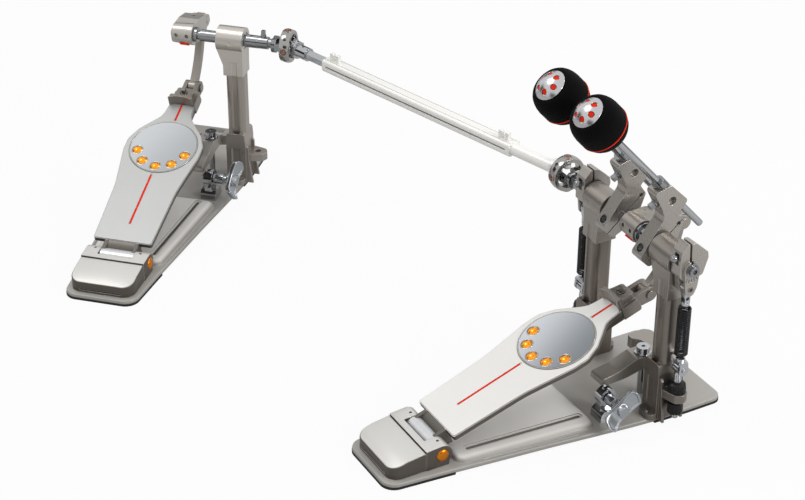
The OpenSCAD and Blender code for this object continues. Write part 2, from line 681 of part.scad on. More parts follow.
lever_x0 = tower_out + 2;
lever_x1 = spring_x + 4;
module spring_lever(through) {
  color(cast) on_shaft() difference() {
    union() {
      slab_x(lever_x0, lever_x1) polygon(rounded([[-13, -8, 4], [-13, 20, 5], [-4, 30, 4],
        [5, 29, 3], [21, 15, 3], [22, 8, 3], [16, -11, 4], [-6, -15, 3]]));
      slab_x(lever_x0, spring_x - 4) polygon(rounded([[-9, -8], [14, -10],
        [9, -lever_arm - 4, 6], [3, -lever_arm - 9, 5], [-6, -lever_arm - 6, 5]]));
      // teardrop plate on the outer face
      slab_x(lever_x1, lever_x1 + 3) polygon(rounded([[-10, 4, 6], [0, 14, 9], [11, 2, 7],
        [8, -lever_arm + 2, 8], [3, -lever_arm - 9, 5], [-6, -lever_arm - 6, 5]]));
      translate([0, 0, -lever_arm]) cyl_x(lever_x0, lever_x1 + 3, 2.5);
    }
    cyl_x(lever_x0 - 1, through ? lever_x1 + 4 : lever_x1, shaft_r + fit);
    // clamp split, and the pocket for its bolt
    translate([lever_x0 - 1, 0, 0]) rotate([3, 0, 0]) translate([0, -1.4, 3])
      cube([40, 2.8, 40]);
    translate([(lever_x0 + lever_x1) / 2 - 3.5, -16, 5]) cube([7, 6, 14]);
    // marks on the teardrop plate
    for (a = [-30:15:30]) rotate([a, 0, 0]) translate([lever_x1 + 2.4, -0.5, -15])
      cube([2, 1, 4.5]);
  }
}
module lever_bolt() {
  translate([(lever_x0 + lever_x1) / 2, -16.5, 13]) rotate([-90, 0, 0]) {
    cylinder(h = 6.48, r = 3.2);
    sphere(4.4);
  }
}

// ---- rotor shafts, hubs and beaters ----
yoke_back = 20;
module main_shaft() {
  hub_screws(hub_x);
  color(steel) on_shaft() {
    lever_bolt();
    difference() {
      union() {
        cyl_x(lever_x1 + 3.02, lever_x1 + 4.3, 7.6);
        cyl_x(lever_x1 + 4.2, lever_x1 + 8, 5.8);
      }
      translate([lever_x1 + 5, 0, 0]) rotate([0, 90, 0]) cylinder(h = 5, r = 3, $fn = 6);
    }
    cyl_x(-18, lever_x1, shaft_r);
    cyl_x(-32, -17, 3);
    difference() {
      union() {
        cyl_x(13.5, 16.5, shaft_r + 6.5);
        cyl_x(16, 22, shaft_r + 4);
      }
      translate([19.4, 0, shaft_r + 1]) cylinder(h = 5, r = 1.8);
    }
  }
}
module left_shaft() {
  hub_screws(-hub_x);
  color(steel) {
    on_shaft() {
      left_side() lever_bolt();
      difference() {
        union() {
          cyl_x(-main_joint_x + yoke_back - 1, -22, shaft_r);
          cyl_x(-lever_x1 - 12, -lever_x1 - 3.4, shaft_r + 3);
        }
        cyl_x(-34, -20, 3 + fit);
      }
    }
    translate([-main_joint_x, 0, shaft_z]) rotate([0, 0, 180]) yoke(fit);
  }
}
rod_mid = [34.7, 31.5];
rod_dir = [-sin(beater_lean), cos(beater_lean)];
// Beater-rod frame: local z runs along the rod to the beater
module on_rod(x) {
  translate([x, rod_mid.x, shaft_z + rod_mid.y]) rotate([beater_lean, 0, 0]) children();
}
clamp_face = atan(40 / 29);
rod_collar = 43.5;
module hub(x) {
  color(cast) difference() {
    on_shaft() {
      slab_x(x - hub_w / 2, x + hub_w / 2) polygon(rounded([[-11, 64, 4], [10, 68.6, 5],
        [32.5, 46, 4], [26, 38, 3], [21, 32, 3], [29, 21, 4], [23, 4, 5], [1, -18, 5],
        [-12, -24, 6], [-25, -10, 6], [4, 30, 10], [1, 40, 6]]));
    }
    on_shaft() {
      cyl_x(x - 20, x + 20, shaft_r + fit);
      translate([0, 22.6, 20]) cyl_x(x - 20, x + 20, 2.6);
      slab_x(x - 20, x + 20) {
        slot2d([3, 3], [40, 35], 1.4);
        slot2d([-3, -3], [-30, -27], 1.4);
      }
      // counterbore of the clamp bolt in the long front face
      translate([x, -19.2, -2]) rotate([clamp_face, 0, 0]) cyl_z(-5, 6, 5);
      // pocket between rod holder and shaft clamp
      translate([0, 12, 50]) cyl_x(x + 3, x + 20, 5);
      translate([0, 12, 50]) cyl_x(x - 20, x - 3, 5);
    }
    on_rod(x) {
      cyl_z(-60, 80, beater_rod_r + fit);
      cyl_z(rod_collar, 80, 7.3);
    }
  }
}
module hub_screws(x) {
  color(steel) on_shaft() {
    translate([x, -3, 48]) rotate([90 + atan(0.5), 0, 0]) {
      cyl_z(0.02, 2.6, 4.5);
      translate([-2.8, -2.8, 2.5]) cube([5.6, 5.6, 6]);
    }
    translate([x, -19.2, -2]) rotate([clamp_face, 0, 0]) difference() {
      cyl_z(-4.98, -0.6, 4.2);
      translate([0, 0, -2.8]) cylinder(h = 4, r = 2, $fn = 6);
    }
  }
  color(steel) on_rod(x) difference() {
    cyl_z(rod_collar + 0.02, rod_collar + 13, 7.2);
    cyl_z(rod_collar - 1, rod_collar + 14, beater_rod_r + fit);
    translate([0, 0, rod_collar + 9.5]) rotate([0, -90, 40]) cylinder(h = 10, r = 2);
  }
}
module beater_rod(x) {
  color(steel) on_rod(x) difference() {
    cyl_z(-33, beater_reach - felt_len / 2 + 8, beater_rod_r);
    translate([0, 0, -34]) cylinder(h = 3, r = 1.6);
  }
}
module beater_felt(x) {
  h = felt_len / 2;
  color("#151515") on_rod(x) translate([0, 0, beater_reach]) rotate_extrude($fn = 72)
    polygon([[9, 1 - h], [17, 1 - h], [felt_r - 7, 2.4 - h], [felt_r - 3.7, 5.6 - h],
      [felt_r - 1.3, 10.5 - h], [felt_r, 17 - h], [felt_r, h - 17], [felt_r - 1.2, h - 10.5],
      [felt_r - 3.9, h - 5.6], [felt_r - 7, h - 3.2], [18.6, h - 2.6], [18, h - 4], [9, h - 4]]);
}
module beater_core(x) {
  h = felt_len / 2;
  on_rod(x) translate([0, 0, beater_reach]) difference() {
    union() {
      color("#c8201c") cyl_z(-h - 1, 1 - h, 15);
      color(steel) cyl_z(-h - 4, h - 3, 9 - fit);
      color(steel) intersection() {
        cyl_z(h - 4, h + 8, 17.6);
        translate([0, 0, h - 17.1]) sphere(23.1, $fn = 96);
      }
    }
    translate([0, 0, -h - 5]) cylinder(h = 13 + fit, r = beater_rod_r + fit);
    for (i = [0:5]) rotate(60 * i) translate([11.2, 0, h + 0.6]) cylinder(h = 8, r = 3.2);
  }
}

// ---- universal joints and connecting rod ----
arm_in = 7.2;
arm_out = 11.6;
arm_r = 4.5;
pin_r = 2.4;
// Yoke along -x of its joint centre: arms on the y sides, or on the z sides when turned
module yoke(play) {
  difference() {
    union() {
      intersection() {
        cyl_x(-yoke_back, -13.6, 11);
        translate([-50, -20, -8.6]) cube([60, 40, 17.2]);
      }
      for (side = [-1, 1]) translate([0, side * (arm_in + arm_out) / 2, 0])
        rotate([90, 0, 0]) linear_extrude(arm_out - arm_in, center = true) {
          circle(arm_r);
          translate([-15, -arm_r]) square([15, 2 * arm_r]);
        }
    }
    rotate([90, 0, 0]) cylinder(h = 40, r = pin_r + play, center = true);
    translate([-yoke_back - 1, -1.2, 5]) cube([5, 2.4, 8]);
  }
}
module ujoint_ring() {
  color(steel) {
    difference() {
      union() {
        intersection() {
          cyl_x(-ring_w / 2, ring_w / 2, ring_r + 2);
          sphere(ring_r + 0.4);
        }
        for (i = [0:3]) rotate([90 * i, 0, 0]) cyl_z(ring_r - 2, ring_r + 0.8, 5.2);
      }
      cyl_x(-ring_w, ring_w, ring_r - 5);
      for (i = [0:3]) rotate([90 * i, 0, 0]) cyl_z(ring_r - 0.8, ring_r + 2, 4);
      for (i = [0:3]) rotate([45 + 90 * i, 0, 0]) translate([0, 0, ring_r - 9])
        cylinder(h = 12, r = 2.2);
    }
    for (i = [0:3]) rotate([90 * i, 0, 0]) {
      cyl_z(arm_in, ring_r - 4, pin_r);
      cyl_z(arm_out + 1.4, ring_r - 3, 3.6);
    }
  }
}
module collar(x0, x1, r) {
  color(steel) on_shaft() difference() {
    cyl_x(x0, x1, r);
    translate([(x0 + x1) / 2, 0, r - 2]) cylinder(h = 4, r = 1.8);
  }
}
module key_screw() {
  cyl_z(0, 3, 3.6);
  translate([-2.4, -2.4, 3]) cube([4.8, 4.8, 6]);
}
module slave_shaft() {
  color(steel) on_shaft() {
    cyl_x(-17, slave_joint_x - yoke_back + 1, shaft_r);
    translate([lever_x1 + 7, 0, shaft_r + 1.6]) key_screw();
    translate([slave_joint_x, 0, 0]) yoke(fit);
  }
  collar(13.4, 18, shaft_r + 3.4);
  collar(22, tower_out - head_len - 0.5, shaft_r + 1.6);
  collar(tower_out + 0.6, lever_x1, shaft_r + 2.2);
  collar(lever_x1 - 0.1, lever_x1 + 13.6, shaft_r + 2);
}
neck_end = yoke_back + 18;
bar_grip = 100;
bar_travel = 60;
module slide_bar() {
  color(steel) at_rod() difference() {
    union() {
      rotate([0, 0, 180]) rotate([90, 0, 0]) yoke(0.6);
      cyl_x(yoke_back - 1, neck_end, bar_r + 1.5);
      rotate([0, 90, 0]) translate([0, 0, neck_end - 1])
        cylinder(h = tube_start - neck_end + bar_grip, r = bar_r, $fn = 6);
    }
    translate([(yoke_back + neck_end) / 2, 0, 5]) cyl_z(0, 6, 2.2);
  }
}
module connecting_tube() {
  end = rod_len - tube_end;
  color("#d3d5d8") at_rod() {
    difference() {
      union() {
        translate([tube_start, 0, 0]) rotate([0, 90, 0]) linear_extrude(end - tube_start)
          rrect2d(tube_w - 3, tube_w, 4);
        // fixed bar and yoke at the main joint
        translate([rod_len, 0, 0]) rotate([90, 0, 0]) yoke(0.6);
        translate([end - 1, 0, 0]) cyl_x(0, tube_end - yoke_back + 2, bar_r + 0.6);
      }
      translate([tube_start - 1, 0, 0]) rotate([0, 90, 0])
        cylinder(h = bar_grip + bar_travel, r = bar_r + 0.35, $fn = 6);
      for (side = [-1, 1]) translate([tube_start + 6, side * tube_w / 2, 0])
        rotate([0, 90, 0]) translate([0, 0, 0]) cylinder(h = end - tube_start - 12, r = 1.4);
      for (x = [tube_start + 10, tube_start + 20]) translate([x, 0, 0])
        cyl_z(5, tube_w, 2.6);
    }
  }
  color(steel) at_rod() for (x = [tube_start + 10, tube_start + 20, end - 20, end - 10])
    translate([x, 0, tube_w / 2 - 1.5]) key_screw();
}

// ---- hoop clamp ----
jaw_z = plate_top + hoop_gap;
module clamp_arm() {
  color(cast) difference() {
    union() {
      slab_x(key_x - 14, key_x + 8) polygon(rounded([[-58, 37, 3], [-58, 46, 3],
        [-36, 50, 12], [-12, jaw_top + 4, 8], [9, jaw_top + 4, 6], [24, jaw_top - 1, 6],
        [40, jaw_top - 3, 5], [41, jaw_z, 2], [30, jaw_z, 3], [22, jaw_z + 6, 8],
        [-8, jaw_z + 5, 8], [-26, 39, 10]]));
      translate([0, 0, jaw_z]) linear_extrude(jaw_top - jaw_z - 3)
        polygon(rounded([[-20, 12, 4], [-10, 12, 5], [-2, 20, 8], [key_x + 4, 20],
          [key_x + 17, 22, 6], [key_x + 17, 41, 8], [-14, 41, 8], [-20, 34, 6]]));
    }
    translate([key_x, 0, 0]) cyl_z(20, 80, 4.6);
    translate([-30, 24, jaw_z - 1]) cube([100, 7, 3]);
  }
}
module wing_post() {
  difference() {
    union() {
      translate([0, -wing_y, wing_z]) cyl_x(41, 52, 10.5);
      slab_x(42, 51) polygon([[-wing_y - 9, plate_top], [-wing_y - 9, wing_z],
        [-wing_y + 9, wing_z], [-wing_y + 9, plate_top]]);
      slab_x(37, 57) polygon(rounded([[-wing_y - 12, plate_top], [-wing_y - 11, plate_top + 9, 2],
        [-wing_y - 7, plate_top + 13, 3], [-wing_y + 7, plate_top + 13, 3],
        [-wing_y + 11, plate_top + 9, 2], [-wing_y + 13, plate_top]]));
    }
    // window over the bolt
    translate([44.5, -wing_y - 4, wing_z + 6]) cube([4, 8, 6]);
    translate([0, -wing_y, wing_z]) cyl_x(30, 60, 4 + fit);
  }
}
module hardware(towers) {
  color(steel) {
    // key bolt through the clamp arm
    translate([key_x, 0, 0]) {
      cyl_z(plate_top, jaw_top + 4, 4);
      translate([0, 0, jaw_top + 4.3]) cylinder(h = 1.3, r = 10, $fn = 6);
      difference() {
        cyl_z(jaw_top + 5.5, jaw_top + 13, 7.4);
        cyl_z(jaw_top + 9.5, jaw_top + 14, 2.2);
        translate([0, 0, jaw_top + 8]) rotate([90, 0, 25]) cylinder(h = 9, r = 1.9);
      }
    }
    wing_post();
    // set screws over the hinge pin
    translate([0, hinge_y, hinge_z]) for (side = [-1, 1]) translate([side * set_screw_x, 0, 0])
      difference() {
        cyl_z(5.3, heel_r - 0.9, 2.3);
        translate([0, 0, heel_r - 3]) cylinder(h = 4, r = 1.3, $fn = 6);
      }
    // foot bolts of the towers
    for (tower = towers, side = [-1, 1]) translate([tower * post_x, side * 20.5, 0])
      difference() {
        cyl_z(plate_top + 4, plate_top + 8.5, 2.9);
        translate([0, 0, plate_top + 6.5]) cylinder(h = 4, r = 1.6, $fn = 6);
      }
  }
}
module main_hardware() {
  hardware([-1, 1]);
  color(steel) {
    spring_rod();
    left_side() spring_rod();
  }
}
module wing_bolt() {
  color(steel) translate([0, -wing_y, wing_z]) {
    cyl_x(37.5, 80, 4);
    cyl_x(53, 66, 6.5);
    slab_x(76.5, 81.5) rotate(38)
      polygon(rounded([[-wing_len / 2, -3, 4], [-wing_len / 2 + 3, -11, 4], [-9, -8, 12],
        [9, -9, 12], [wing_len / 2 - 5, -9, 4], [wing_len / 2, 3, 4],
        [wing_len / 2 - 3, 11, 4], [9, 8, 12], [-9, 9, 12], [-wing_len / 2 + 5, 9, 4]]));
    cyl_x(70, 84, 7);
  }
}

// ---- pieces of the main pedal ----
module main_base_plate() base_plate();
module main_rubber_pads() rubber_pads();
module main_heel_block() heel_block();
module main_hinge_pin() hinge_pin();
module main_side_caps() side_caps();
module main_towers() { tower(); left_side() tower(); }
module main_heads() { head(); left_side() head(); }
module main_bearings() { bearings(); left_side() bearings(); }

main_base_plate();
main_rubber_pads();
main_heel_block();
main_hinge_pin();
main_side_caps();
main_towers();
main_heads();
main_bearings();
main_hardware();
clamp_arm();  // main_clamp_arm
wing_bolt();  // main_wing_bolt
tension_knobs();  // right_tension_knobs
spring_swivel();  // right_spring_swivel
spring();  // right_spring
spring_fork();  // right_spring_fork
left_side() tension_knobs();  // left_tension_knobs
left_side() spring_swivel();  // left_spring_swivel
left_side() spring();  // left_spring
left_side() spring_fork();  // left_spring_fork
main_shaft();
crank();  // main_crank
hub(hub_x);  // main_hub
spring_lever(false);  // main_spring_lever
beater_rod(hub_x);  // main_beater_rod
beater_felt(hub_x);  // main_beater_felt
beater_core(hub_x);  // main_beater_core
left_shaft();
hub(-hub_x);  // left_hub
left_side() spring_lever(true);  // left_spring_lever
beater_rod(-hub_x);  // left_beater_rod
beater_felt(-hub_x);  // left_beater_felt
beater_core(-hub_x);  // left_beater_core
footboard();  // main_footboard
toe_block();  // main_toe_block
clevis_pin();  // main_clevis_pin
disc();  // main_disc
domes();  // main_domes
link();  // main_link
at_slave() base_plate();  // slave_base_plate
at_slave() rubber_pads();  // slave_rubber_pads
at_slave() heel_block();  // slave_heel_block
at_slave() hinge_pin();  // slave_hinge_pin
at_slave() side_caps();  // slave_side_caps
at_slave() tower();  // slave_tower
at_slave() head();  // slave_head
at_slave() bearings();  // slave_bearings
at_slave() hardware([1]);  // slave_hardware
at_slave() clamp_arm();  // slave_clamp_arm
at_slave() wing_bolt();  // slave_wing_bolt
at_slave() footboard();  // slave_footboard
at_slave() toe_block();  // slave_toe_block
at_slave() clevis_pin();  // slave_clevis_pin
at_slave() disc();  // slave_disc
at_slave() domes();  // slave_domes
at_slave() link();  // slave_link
at_slave() slave_shaft();
at_slave() crank();  // slave_crank
at_slave() translate([slave_joint_x, 0, shaft_z]) ujoint_ring();  // slave_ujoint_ring
slide_bar();  // slave_slide_bar
connecting_tube();
translate([-main_joint_x, 0, shaft_z]) ujoint_ring();  // main_ujoint_ring
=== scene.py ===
import math

import bmesh
import bpy
from mathutils import Matrix, Vector


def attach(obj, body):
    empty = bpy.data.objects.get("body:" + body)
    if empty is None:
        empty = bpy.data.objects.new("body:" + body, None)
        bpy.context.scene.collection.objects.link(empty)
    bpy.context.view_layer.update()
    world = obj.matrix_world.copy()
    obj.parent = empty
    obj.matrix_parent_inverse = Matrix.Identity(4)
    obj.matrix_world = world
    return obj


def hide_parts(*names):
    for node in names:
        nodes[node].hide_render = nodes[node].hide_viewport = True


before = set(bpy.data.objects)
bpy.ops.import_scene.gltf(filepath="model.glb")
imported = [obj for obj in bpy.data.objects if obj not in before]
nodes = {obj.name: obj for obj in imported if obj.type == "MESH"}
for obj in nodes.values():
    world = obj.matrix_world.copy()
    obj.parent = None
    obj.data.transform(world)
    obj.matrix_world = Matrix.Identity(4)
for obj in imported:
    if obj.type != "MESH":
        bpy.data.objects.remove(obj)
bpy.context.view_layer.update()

mm = 0.001
tiny = 1e-7  # two places this close are the same
nearAxis = 0.01  # where a solid turned profile starts, in millimetres

# Places in millimetres and degrees, as in the CAD source
layout = {
    "shaftZ": 204, "mainJointX": 136, "slaveJointX": 137.4, "rodLength": 464,
    "rodYaw": 15.7, "slaveYaw": 45.9, "boardY": -245.2, "boardZ": 38, "boardTilt": 19.1,
    "discAlong": 158.2, "hubX": 34.5, "rodMid": (34.7, 31.5), "beaterLean": 42,
    "beaterReach": 173, "springX": 94, "lugX": 92,
}


def moveMm(x, y, z):
    return Matrix.Translation(Vector((x, y, z)) * mm)


def turn(degrees, axis):
    return Matrix.Rotation(math.radians(degrees), 4, axis)


rodPlace = (moveMm(-layout["mainJointX"], 0, layout["shaftZ"]) @ turn(layout["rodYaw"], "Z")
            @ moveMm(-layout["rodLength"], 0, 0))
pedalPlace = {
    "main": Matrix.Identity(4),
    "slave": (moveMm(0, 0, -layout["shaftZ"]) @ rodPlace
              @ turn(layout["slaveYaw"] - layout["rodYaw"], "Z")
              @ moveMm(-layout["slaveJointX"], 0, 0)),
}
boardLocal = moveMm(0, layout["boardY"], layout["boardZ"]) @ turn(layout["boardTilt"], "X")


def boardPlace(pedal):
    return pedalPlace[pedal] @ boardLocal


def beaterPlace(x):
    mid = layout["rodMid"]
    return (moveMm(x, mid[0], layout["shaftZ"] + mid[1]) @ turn(layout["beaterLean"], "X")
            @ moveMm(0, 0, layout["beaterReach"]))


# The camera stands where the photograph was taken
camera = {
    "place": (1.529, -1.1406, 1.3114), "forward": (-0.7481, 0.4181, -0.5153),
    "up": (-0.4515, 0.2484, 0.857), "lens": 91.774,
}


def makeCamera(look):
    data = bpy.data.cameras.new("photoCamera")
    cam = bpy.data.objects.new("photoCamera", data)
    bpy.context.scene.collection.objects.link(cam)
    forward = Vector(look["forward"]).normalized()
    right = forward.cross(Vector(look["up"])).normalized()
    up = right.cross(forward)
    turned = Matrix((right, up, -forward)).transposed()
    cam.matrix_world = Matrix.Translation(look["place"]) @ turned.to_4x4()
    data.lens, data.sensor_width = look["lens"], 36
    data.clip_start, data.clip_end = 0.1, 60
    bpy.context.scene.camera = cam


# Soft light from above, a white backdrop, and dark cards that only polished metal sees
studio = {
    "skyFill": 1.0, "horizonFill": 0.5, "fillTop": 0.8, "backdrop": 1.0,
    "lamps": [
        # name, place, aims at, size, power
        ("keyLamp", (-1.3, -1.2, 2.8), (-0.2, -0.1, 0.1), 1.1, 18),
        ("rimLamp", (0.3, 2.1, 2.2), (-0.2, 0.0, 0.1), 0.6, 11),
        ("sideLamp", (2.0, 0.9, 1.3), (-0.1, 0.0, 0.05), 0.8, 30),
    ],
    # direction of each card from the pedal, its width, lowest and highest point, in metres
    "cards": [(-62, 1.5, 0.35, 1.5), (-12, 1.1, 0.3, 1.7), (28, 1.3, 0.25, 1.6),
              (92, 1.6, 0.2, 1.2), (165, 1.3, 0.3, 1.4), (228, 1.4, 0.3, 1.5)],
    "cardReach": 3.0, "cardTone": (0.035, 0.033, 0.03, 1),
    "floor": {"size": 14, "tone": (0.55, 0.55, 0.55, 1), "whiteShare": 0.94},
}


# Gives a shader node its inputs, each a value or another node's output
def fill(made, inputs):
    for key, value in inputs.items():
        if isinstance(value, bpy.types.NodeSocket):
            made.id_data.links.new(value, made.inputs[key])
        else:
            made.inputs[key].default_value = value


def node(tree, kind, inputs=None, **settings):
    made = tree.nodes.new(kind)
    for key, value in settings.items():
        setattr(made, key, value)
    fill(made, inputs or {})
    return made


def newMaterial(name):
    made = bpy.data.materials.new(name)
    made.use_nodes = True
    return made, made.node_tree, made.node_tree.nodes["Principled BSDF"]


def makeStudio(look):
    scene = bpy.context.scene
    scene.view_settings.view_transform = "Standard"
    scene.world = bpy.data.worlds.new("studioWorld")
    scene.world.use_nodes = True
    tree = scene.world.node_tree
    tree.nodes.clear()
    coord = node(tree, "ShaderNodeTexCoord")
    parts = node(tree, "ShaderNodeSeparateXYZ", {0: coord.outputs["Generated"]})
    level = node(tree, "ShaderNodeMapRange", {
        "Value": parts.outputs["Z"], "From Min": 0.0, "From Max": look["fillTop"],
        "To Min": look["horizonFill"], "To Max": look["skyFill"]})
    white = (1, 1, 1, 1)
    sky = node(tree, "ShaderNodeBackground", {"Color": white, "Strength": level.outputs["Result"]})
    backdrop = node(tree, "ShaderNodeBackground", {"Color": white, "Strength": look["backdrop"]})
    path = node(tree, "ShaderNodeLightPath")
    seen = node(tree, "ShaderNodeMath", {
        0: path.outputs["Is Camera Ray"], 1: path.outputs["Is Transmission Ray"]},
        operation="MAXIMUM")
    sharp = node(tree, "ShaderNodeMath", {
        0: seen.outputs[0], 1: path.outputs["Is Glossy Ray"]}, operation="MAXIMUM")
    mix = node(tree, "ShaderNodeMixShader", {
        "Fac": sharp.outputs[0], 1: sky.outputs[0], 2: backdrop.outputs[0]})
    node(tree, "ShaderNodeOutputWorld", {"Surface": mix.outputs[0]})
    for name, place, aim, size, power in look["lamps"]:
        data = bpy.data.lights.new(name, "AREA")
        data.size, data.energy = size, power
        lamp = bpy.data.objects.new(name, data)
        scene.collection.objects.link(lamp)
        lamp.location = place
        lamp.rotation_mode = "QUATERNION"
        lamp.rotation_quaternion = (Vector(aim) - Vector(place)).to_track_quat("-Z", "Y")


# A matte object that sets the stage and is no part of the pedal
def matteObject(name, bm, tone):
    mesh = bpy.data.meshes.new(name)
    bm.to_mesh(mesh)
    bm.free()
    made, tree, bsdf = newMaterial(name)
    fill(bsdf, {"Base Color": tone, "Roughness": 0.9, "Specular IOR Level": 0.0})
    mesh.materials.append(made)
    matte = bpy.data.objects.new(name, mesh)
    bpy.context.scene.collection.objects.link(matte)
    return matte, tree, bsdf


def makeCards(look):
    bm = bmesh.new()
    for angle, width, low, high in look["cards"]:
        old = set(bm.verts)
        bmesh.ops.create_grid(bm, x_segments=1, y_segments=1, size=0.5)
        stand = Matrix.Translation((look["cardReach"], 0, (low + high) / 2)) @ turn(90, "Y")
        shift(bm, old, turn(angle, "Z") @ stand @ Matrix.Diagonal((high - low, width, 1, 1)))
    cards, tree, bsdf = matteObject("studioCards", bm, look["cardTone"])
    cards.visible_camera = False
    cards.visible_diffuse = False
    cards.visible_shadow = False
    cards.visible_transmission = False


# The floor is bright to the camera and keeps its shadows
def makeFloor(look):
    bm = bmesh.new()
    bmesh.ops.create_grid(bm, x_segments=1, y_segments=1, size=look["size"])
    floor, tree, bsdf = matteObject("studioFloor", bm, look["tone"])
    path = node(tree, "ShaderNodeLightPath")
    share = node(tree, "ShaderNodeMath", {
        0: path.outputs["Is Camera Ray"], 1: look["whiteShare"]}, operation="MULTIPLY")
    glow = node(tree, "ShaderNodeEmission", {"Strength": 1.0})
    mix = node(tree, "ShaderNodeMixShader", {
        "Fac": share.outputs[0], 1: bsdf.outputs[0], 2: glow.outputs[0]})
    fill(tree.nodes["Material Output"], {"Surface": mix.outputs[0]})


def srgb(r, g, b):
    return tuple(c / 255 / 12.92 if c <= 10 else ((c / 255 + 0.055) / 1.055) ** 2.4
                 for c in (r, g, b)) + (1,)


# Lays a tone over a colour as the dot product of two directions goes from start to end
def layTone(tree, colour, tone, pair, start, end, share=1.0, curve="LINEAR"):
    dot = node(tree, "ShaderNodeVectorMath", dict(enumerate(pair)), operation="DOT_PRODUCT")
    amount = node(tree, "ShaderNodeMapRange", {
        "Value": dot.outputs["Value"], "From Min": start, "From Max": end, "To Max": share},
        interpolation_type=curve)
    laid = node(tree, "ShaderNodeMix", {
        "Factor": amount.outputs["Result"], "A": colour, "B": srgb(*tone)}, data_type="RGBA")
    return laid.outputs["Result"]


# Where a face turns from the top's tone to the side's darker tone of painted shade, and an edge
# from its own tone to the lighter tone of wear and painted highlight
toneSpans = {"side": (0.95, 0.6), "worn": (0.995, 0.86)}


# A surface with two close tones and fine grain in its gloss and height. Where the finish asks
# for it, faces that don't look along "up" take a darker side tone as painted shade, edges are
# lightened by wear and a painted highlight, and a painted tone runs along "sweep": shade on the
# plates, a reflection on the discs.
def surfaceMaterial(name, look):
    made, tree, bsdf = newMaterial(name)
    coord = node(tree, "ShaderNodeTexCoord")
    spot = coord.outputs["Object"]
    grainMap = node(tree, "ShaderNodeMapping", {
        "Vector": spot, "Rotation": [math.radians(a) for a in look.get("turn", (0, 0, 0))],
        "Scale": look.get("grainSize", steelGrain)}, vector_type="TEXTURE")
    grain = node(tree, "ShaderNodeTexNoise", {
        "Vector": grainMap.outputs["Vector"], "Scale": 1.0, "Detail": 3.0, "Roughness": 0.6})
    cloud = node(tree, "ShaderNodeTexNoise", {
        "Vector": spot, "Scale": look.get("cloudScale", 14.0), "Detail": 4.0})
    half = node(tree, "ShaderNodeMath", {0: cloud.outputs["Fac"], 1: 0.5}, operation="MULTIPLY")
    both = node(tree, "ShaderNodeMath", {0: grain.outputs["Fac"], 1: 0.5, 2: half.outputs[0]},
                operation="MULTIPLY_ADD")
    tone = node(tree, "ShaderNodeMix", {
        "Factor": both.outputs[0], "A": srgb(*look["light"]), "B": srgb(*look["dark"])},
        data_type="RGBA")
    colour = tone.outputs["Result"]
    # Painted shade: faces that turn away from "up" take the darker side tone
    if "side" in look:
        colour = layTone(tree, colour, look["side"], (coord.outputs["Normal"], look["up"]),
                         *toneSpans["side"])
    # A tone laid along "sweep": painted shade on the base plates, a painted reflection on the
    # discs
    if "sweep" in look:
        sweep = look["sweep"]
        colour = layTone(tree, colour, sweep["tone"], (spot, sweep["along"]), sweep["from"],
                         sweep["to"], sweep.get("share", 1.0), "SMOOTHSTEP")
    gloss = node(tree, "ShaderNodeMapRange", {
        "Value": grain.outputs["Fac"], "To Min": look["rough"][0], "To Max": look["rough"][1]})
    bump = node(tree, "ShaderNodeBump", {
        "Height": grain.outputs["Fac"], "Strength": look.get("bump", 0.1), "Distance": 0.0004})
    if "edge" in look:
        soft = node(tree, "ShaderNodeBevel", {"Radius": look["edge"]}, samples=4)
        fill(bump, {"Normal": soft.outputs["Normal"]})
    # Edges lightened toward the edge tone: partly wear, partly a painted highlight
    if "worn" in look:
        flat = node(tree, "ShaderNodeNewGeometry")
        colour = layTone(tree, colour, look["worn"],
                         (soft.outputs["Normal"], flat.outputs["Normal"]),
                         *toneSpans["worn"], look["wear"])
    fill(bsdf, {"Base Color": colour, "Roughness": gloss.outputs["Result"],
                "Normal": bump.outputs["Normal"], "Metallic": look.get("metal", 0.0)})
    if "coat" in look:
        fill(bsdf, {"Coat Weight": look["coat"], "Coat Roughness": 0.05})
    if "sheen" in look:
        fill(bsdf, {"Sheen Weight": look["sheen"], "Sheen Roughness": 0.5})
    if "specular" in look:
        fill(bsdf, {"Specular IOR Level": look["specular"]})
    return made


# The way each board's top looks, and the middle of its polished disc
boardUp = {pedal: tuple(boardPlace(pedal).to_3x3() @ Vector((0, 0, 1))) for pedal in pedalPlace}
discAt = {pedal: boardPlace(pedal) @ Vector((0, layout["discAlong"] * mm, 0))
          for pedal in pedalPlace}
mirrorLook = {"rough": (0.04, 0.08), "metal": 1.0, "bump": 0.0}
# Where the reflection painted on the discs runs from light to dark
paintedReflectionSpan = {"way": (0.75, 0.3, 0), "before": 0.05, "behind": 0.045}


# A reflection painted on a polished disc, whose tone runs from its bright side to its dark side
def discPaintedReflection(pedal, tone):
    along = Vector(paintedReflectionSpan["way"]).normalized()
    middle = discAt[pedal].dot(along)
    return {"along": tuple(along), "from": middle - paintedReflectionSpan["before"],
            "to": middle + paintedReflectionSpan["behind"], "tone": tone}


# Grain sizes in metres, and what the finishes of one kind share
castGrain = (0.0006, 0.0006, 0.0006)
fineGrain = (0.0005, 0.0005, 0.0005)
steelGrain = (0.001, 0.001, 0.001)
polishGrain = (0.002, 0.002, 0.002)
turnedGrain = (0.02, 0.001, 0.001)
coverLook = {"bump": 0.08, "grainSize": castGrain, "up": (0, 0, 1)}
# The edge tone lightens edges for wear together with a painted highlight
castLook = {"rough": (0.25, 0.36), "metal": 0.7, "bump": 0.06, "grainSize": castGrain,
            "edge": 0.0008, "wear": 0.5}
towerLook = dict(castLook, rough=(0.26, 0.36), metal=0.75, grainSize=fineGrain)
brushLook = {"rough": (0.3, 0.42), "metal": 0.4, "bump": 0.05, "edge": 0.0008,
             "grainSize": (0.0006, 0.05, 0.002)}
steelLook = {"metal": 1.0, "bump": 0.02, "grainSize": steelGrain, "edge": 0.0005}
polishLook = {"metal": 1.0, "bump": 0.01, "grainSize": polishGrain, "edge": 0.0004}
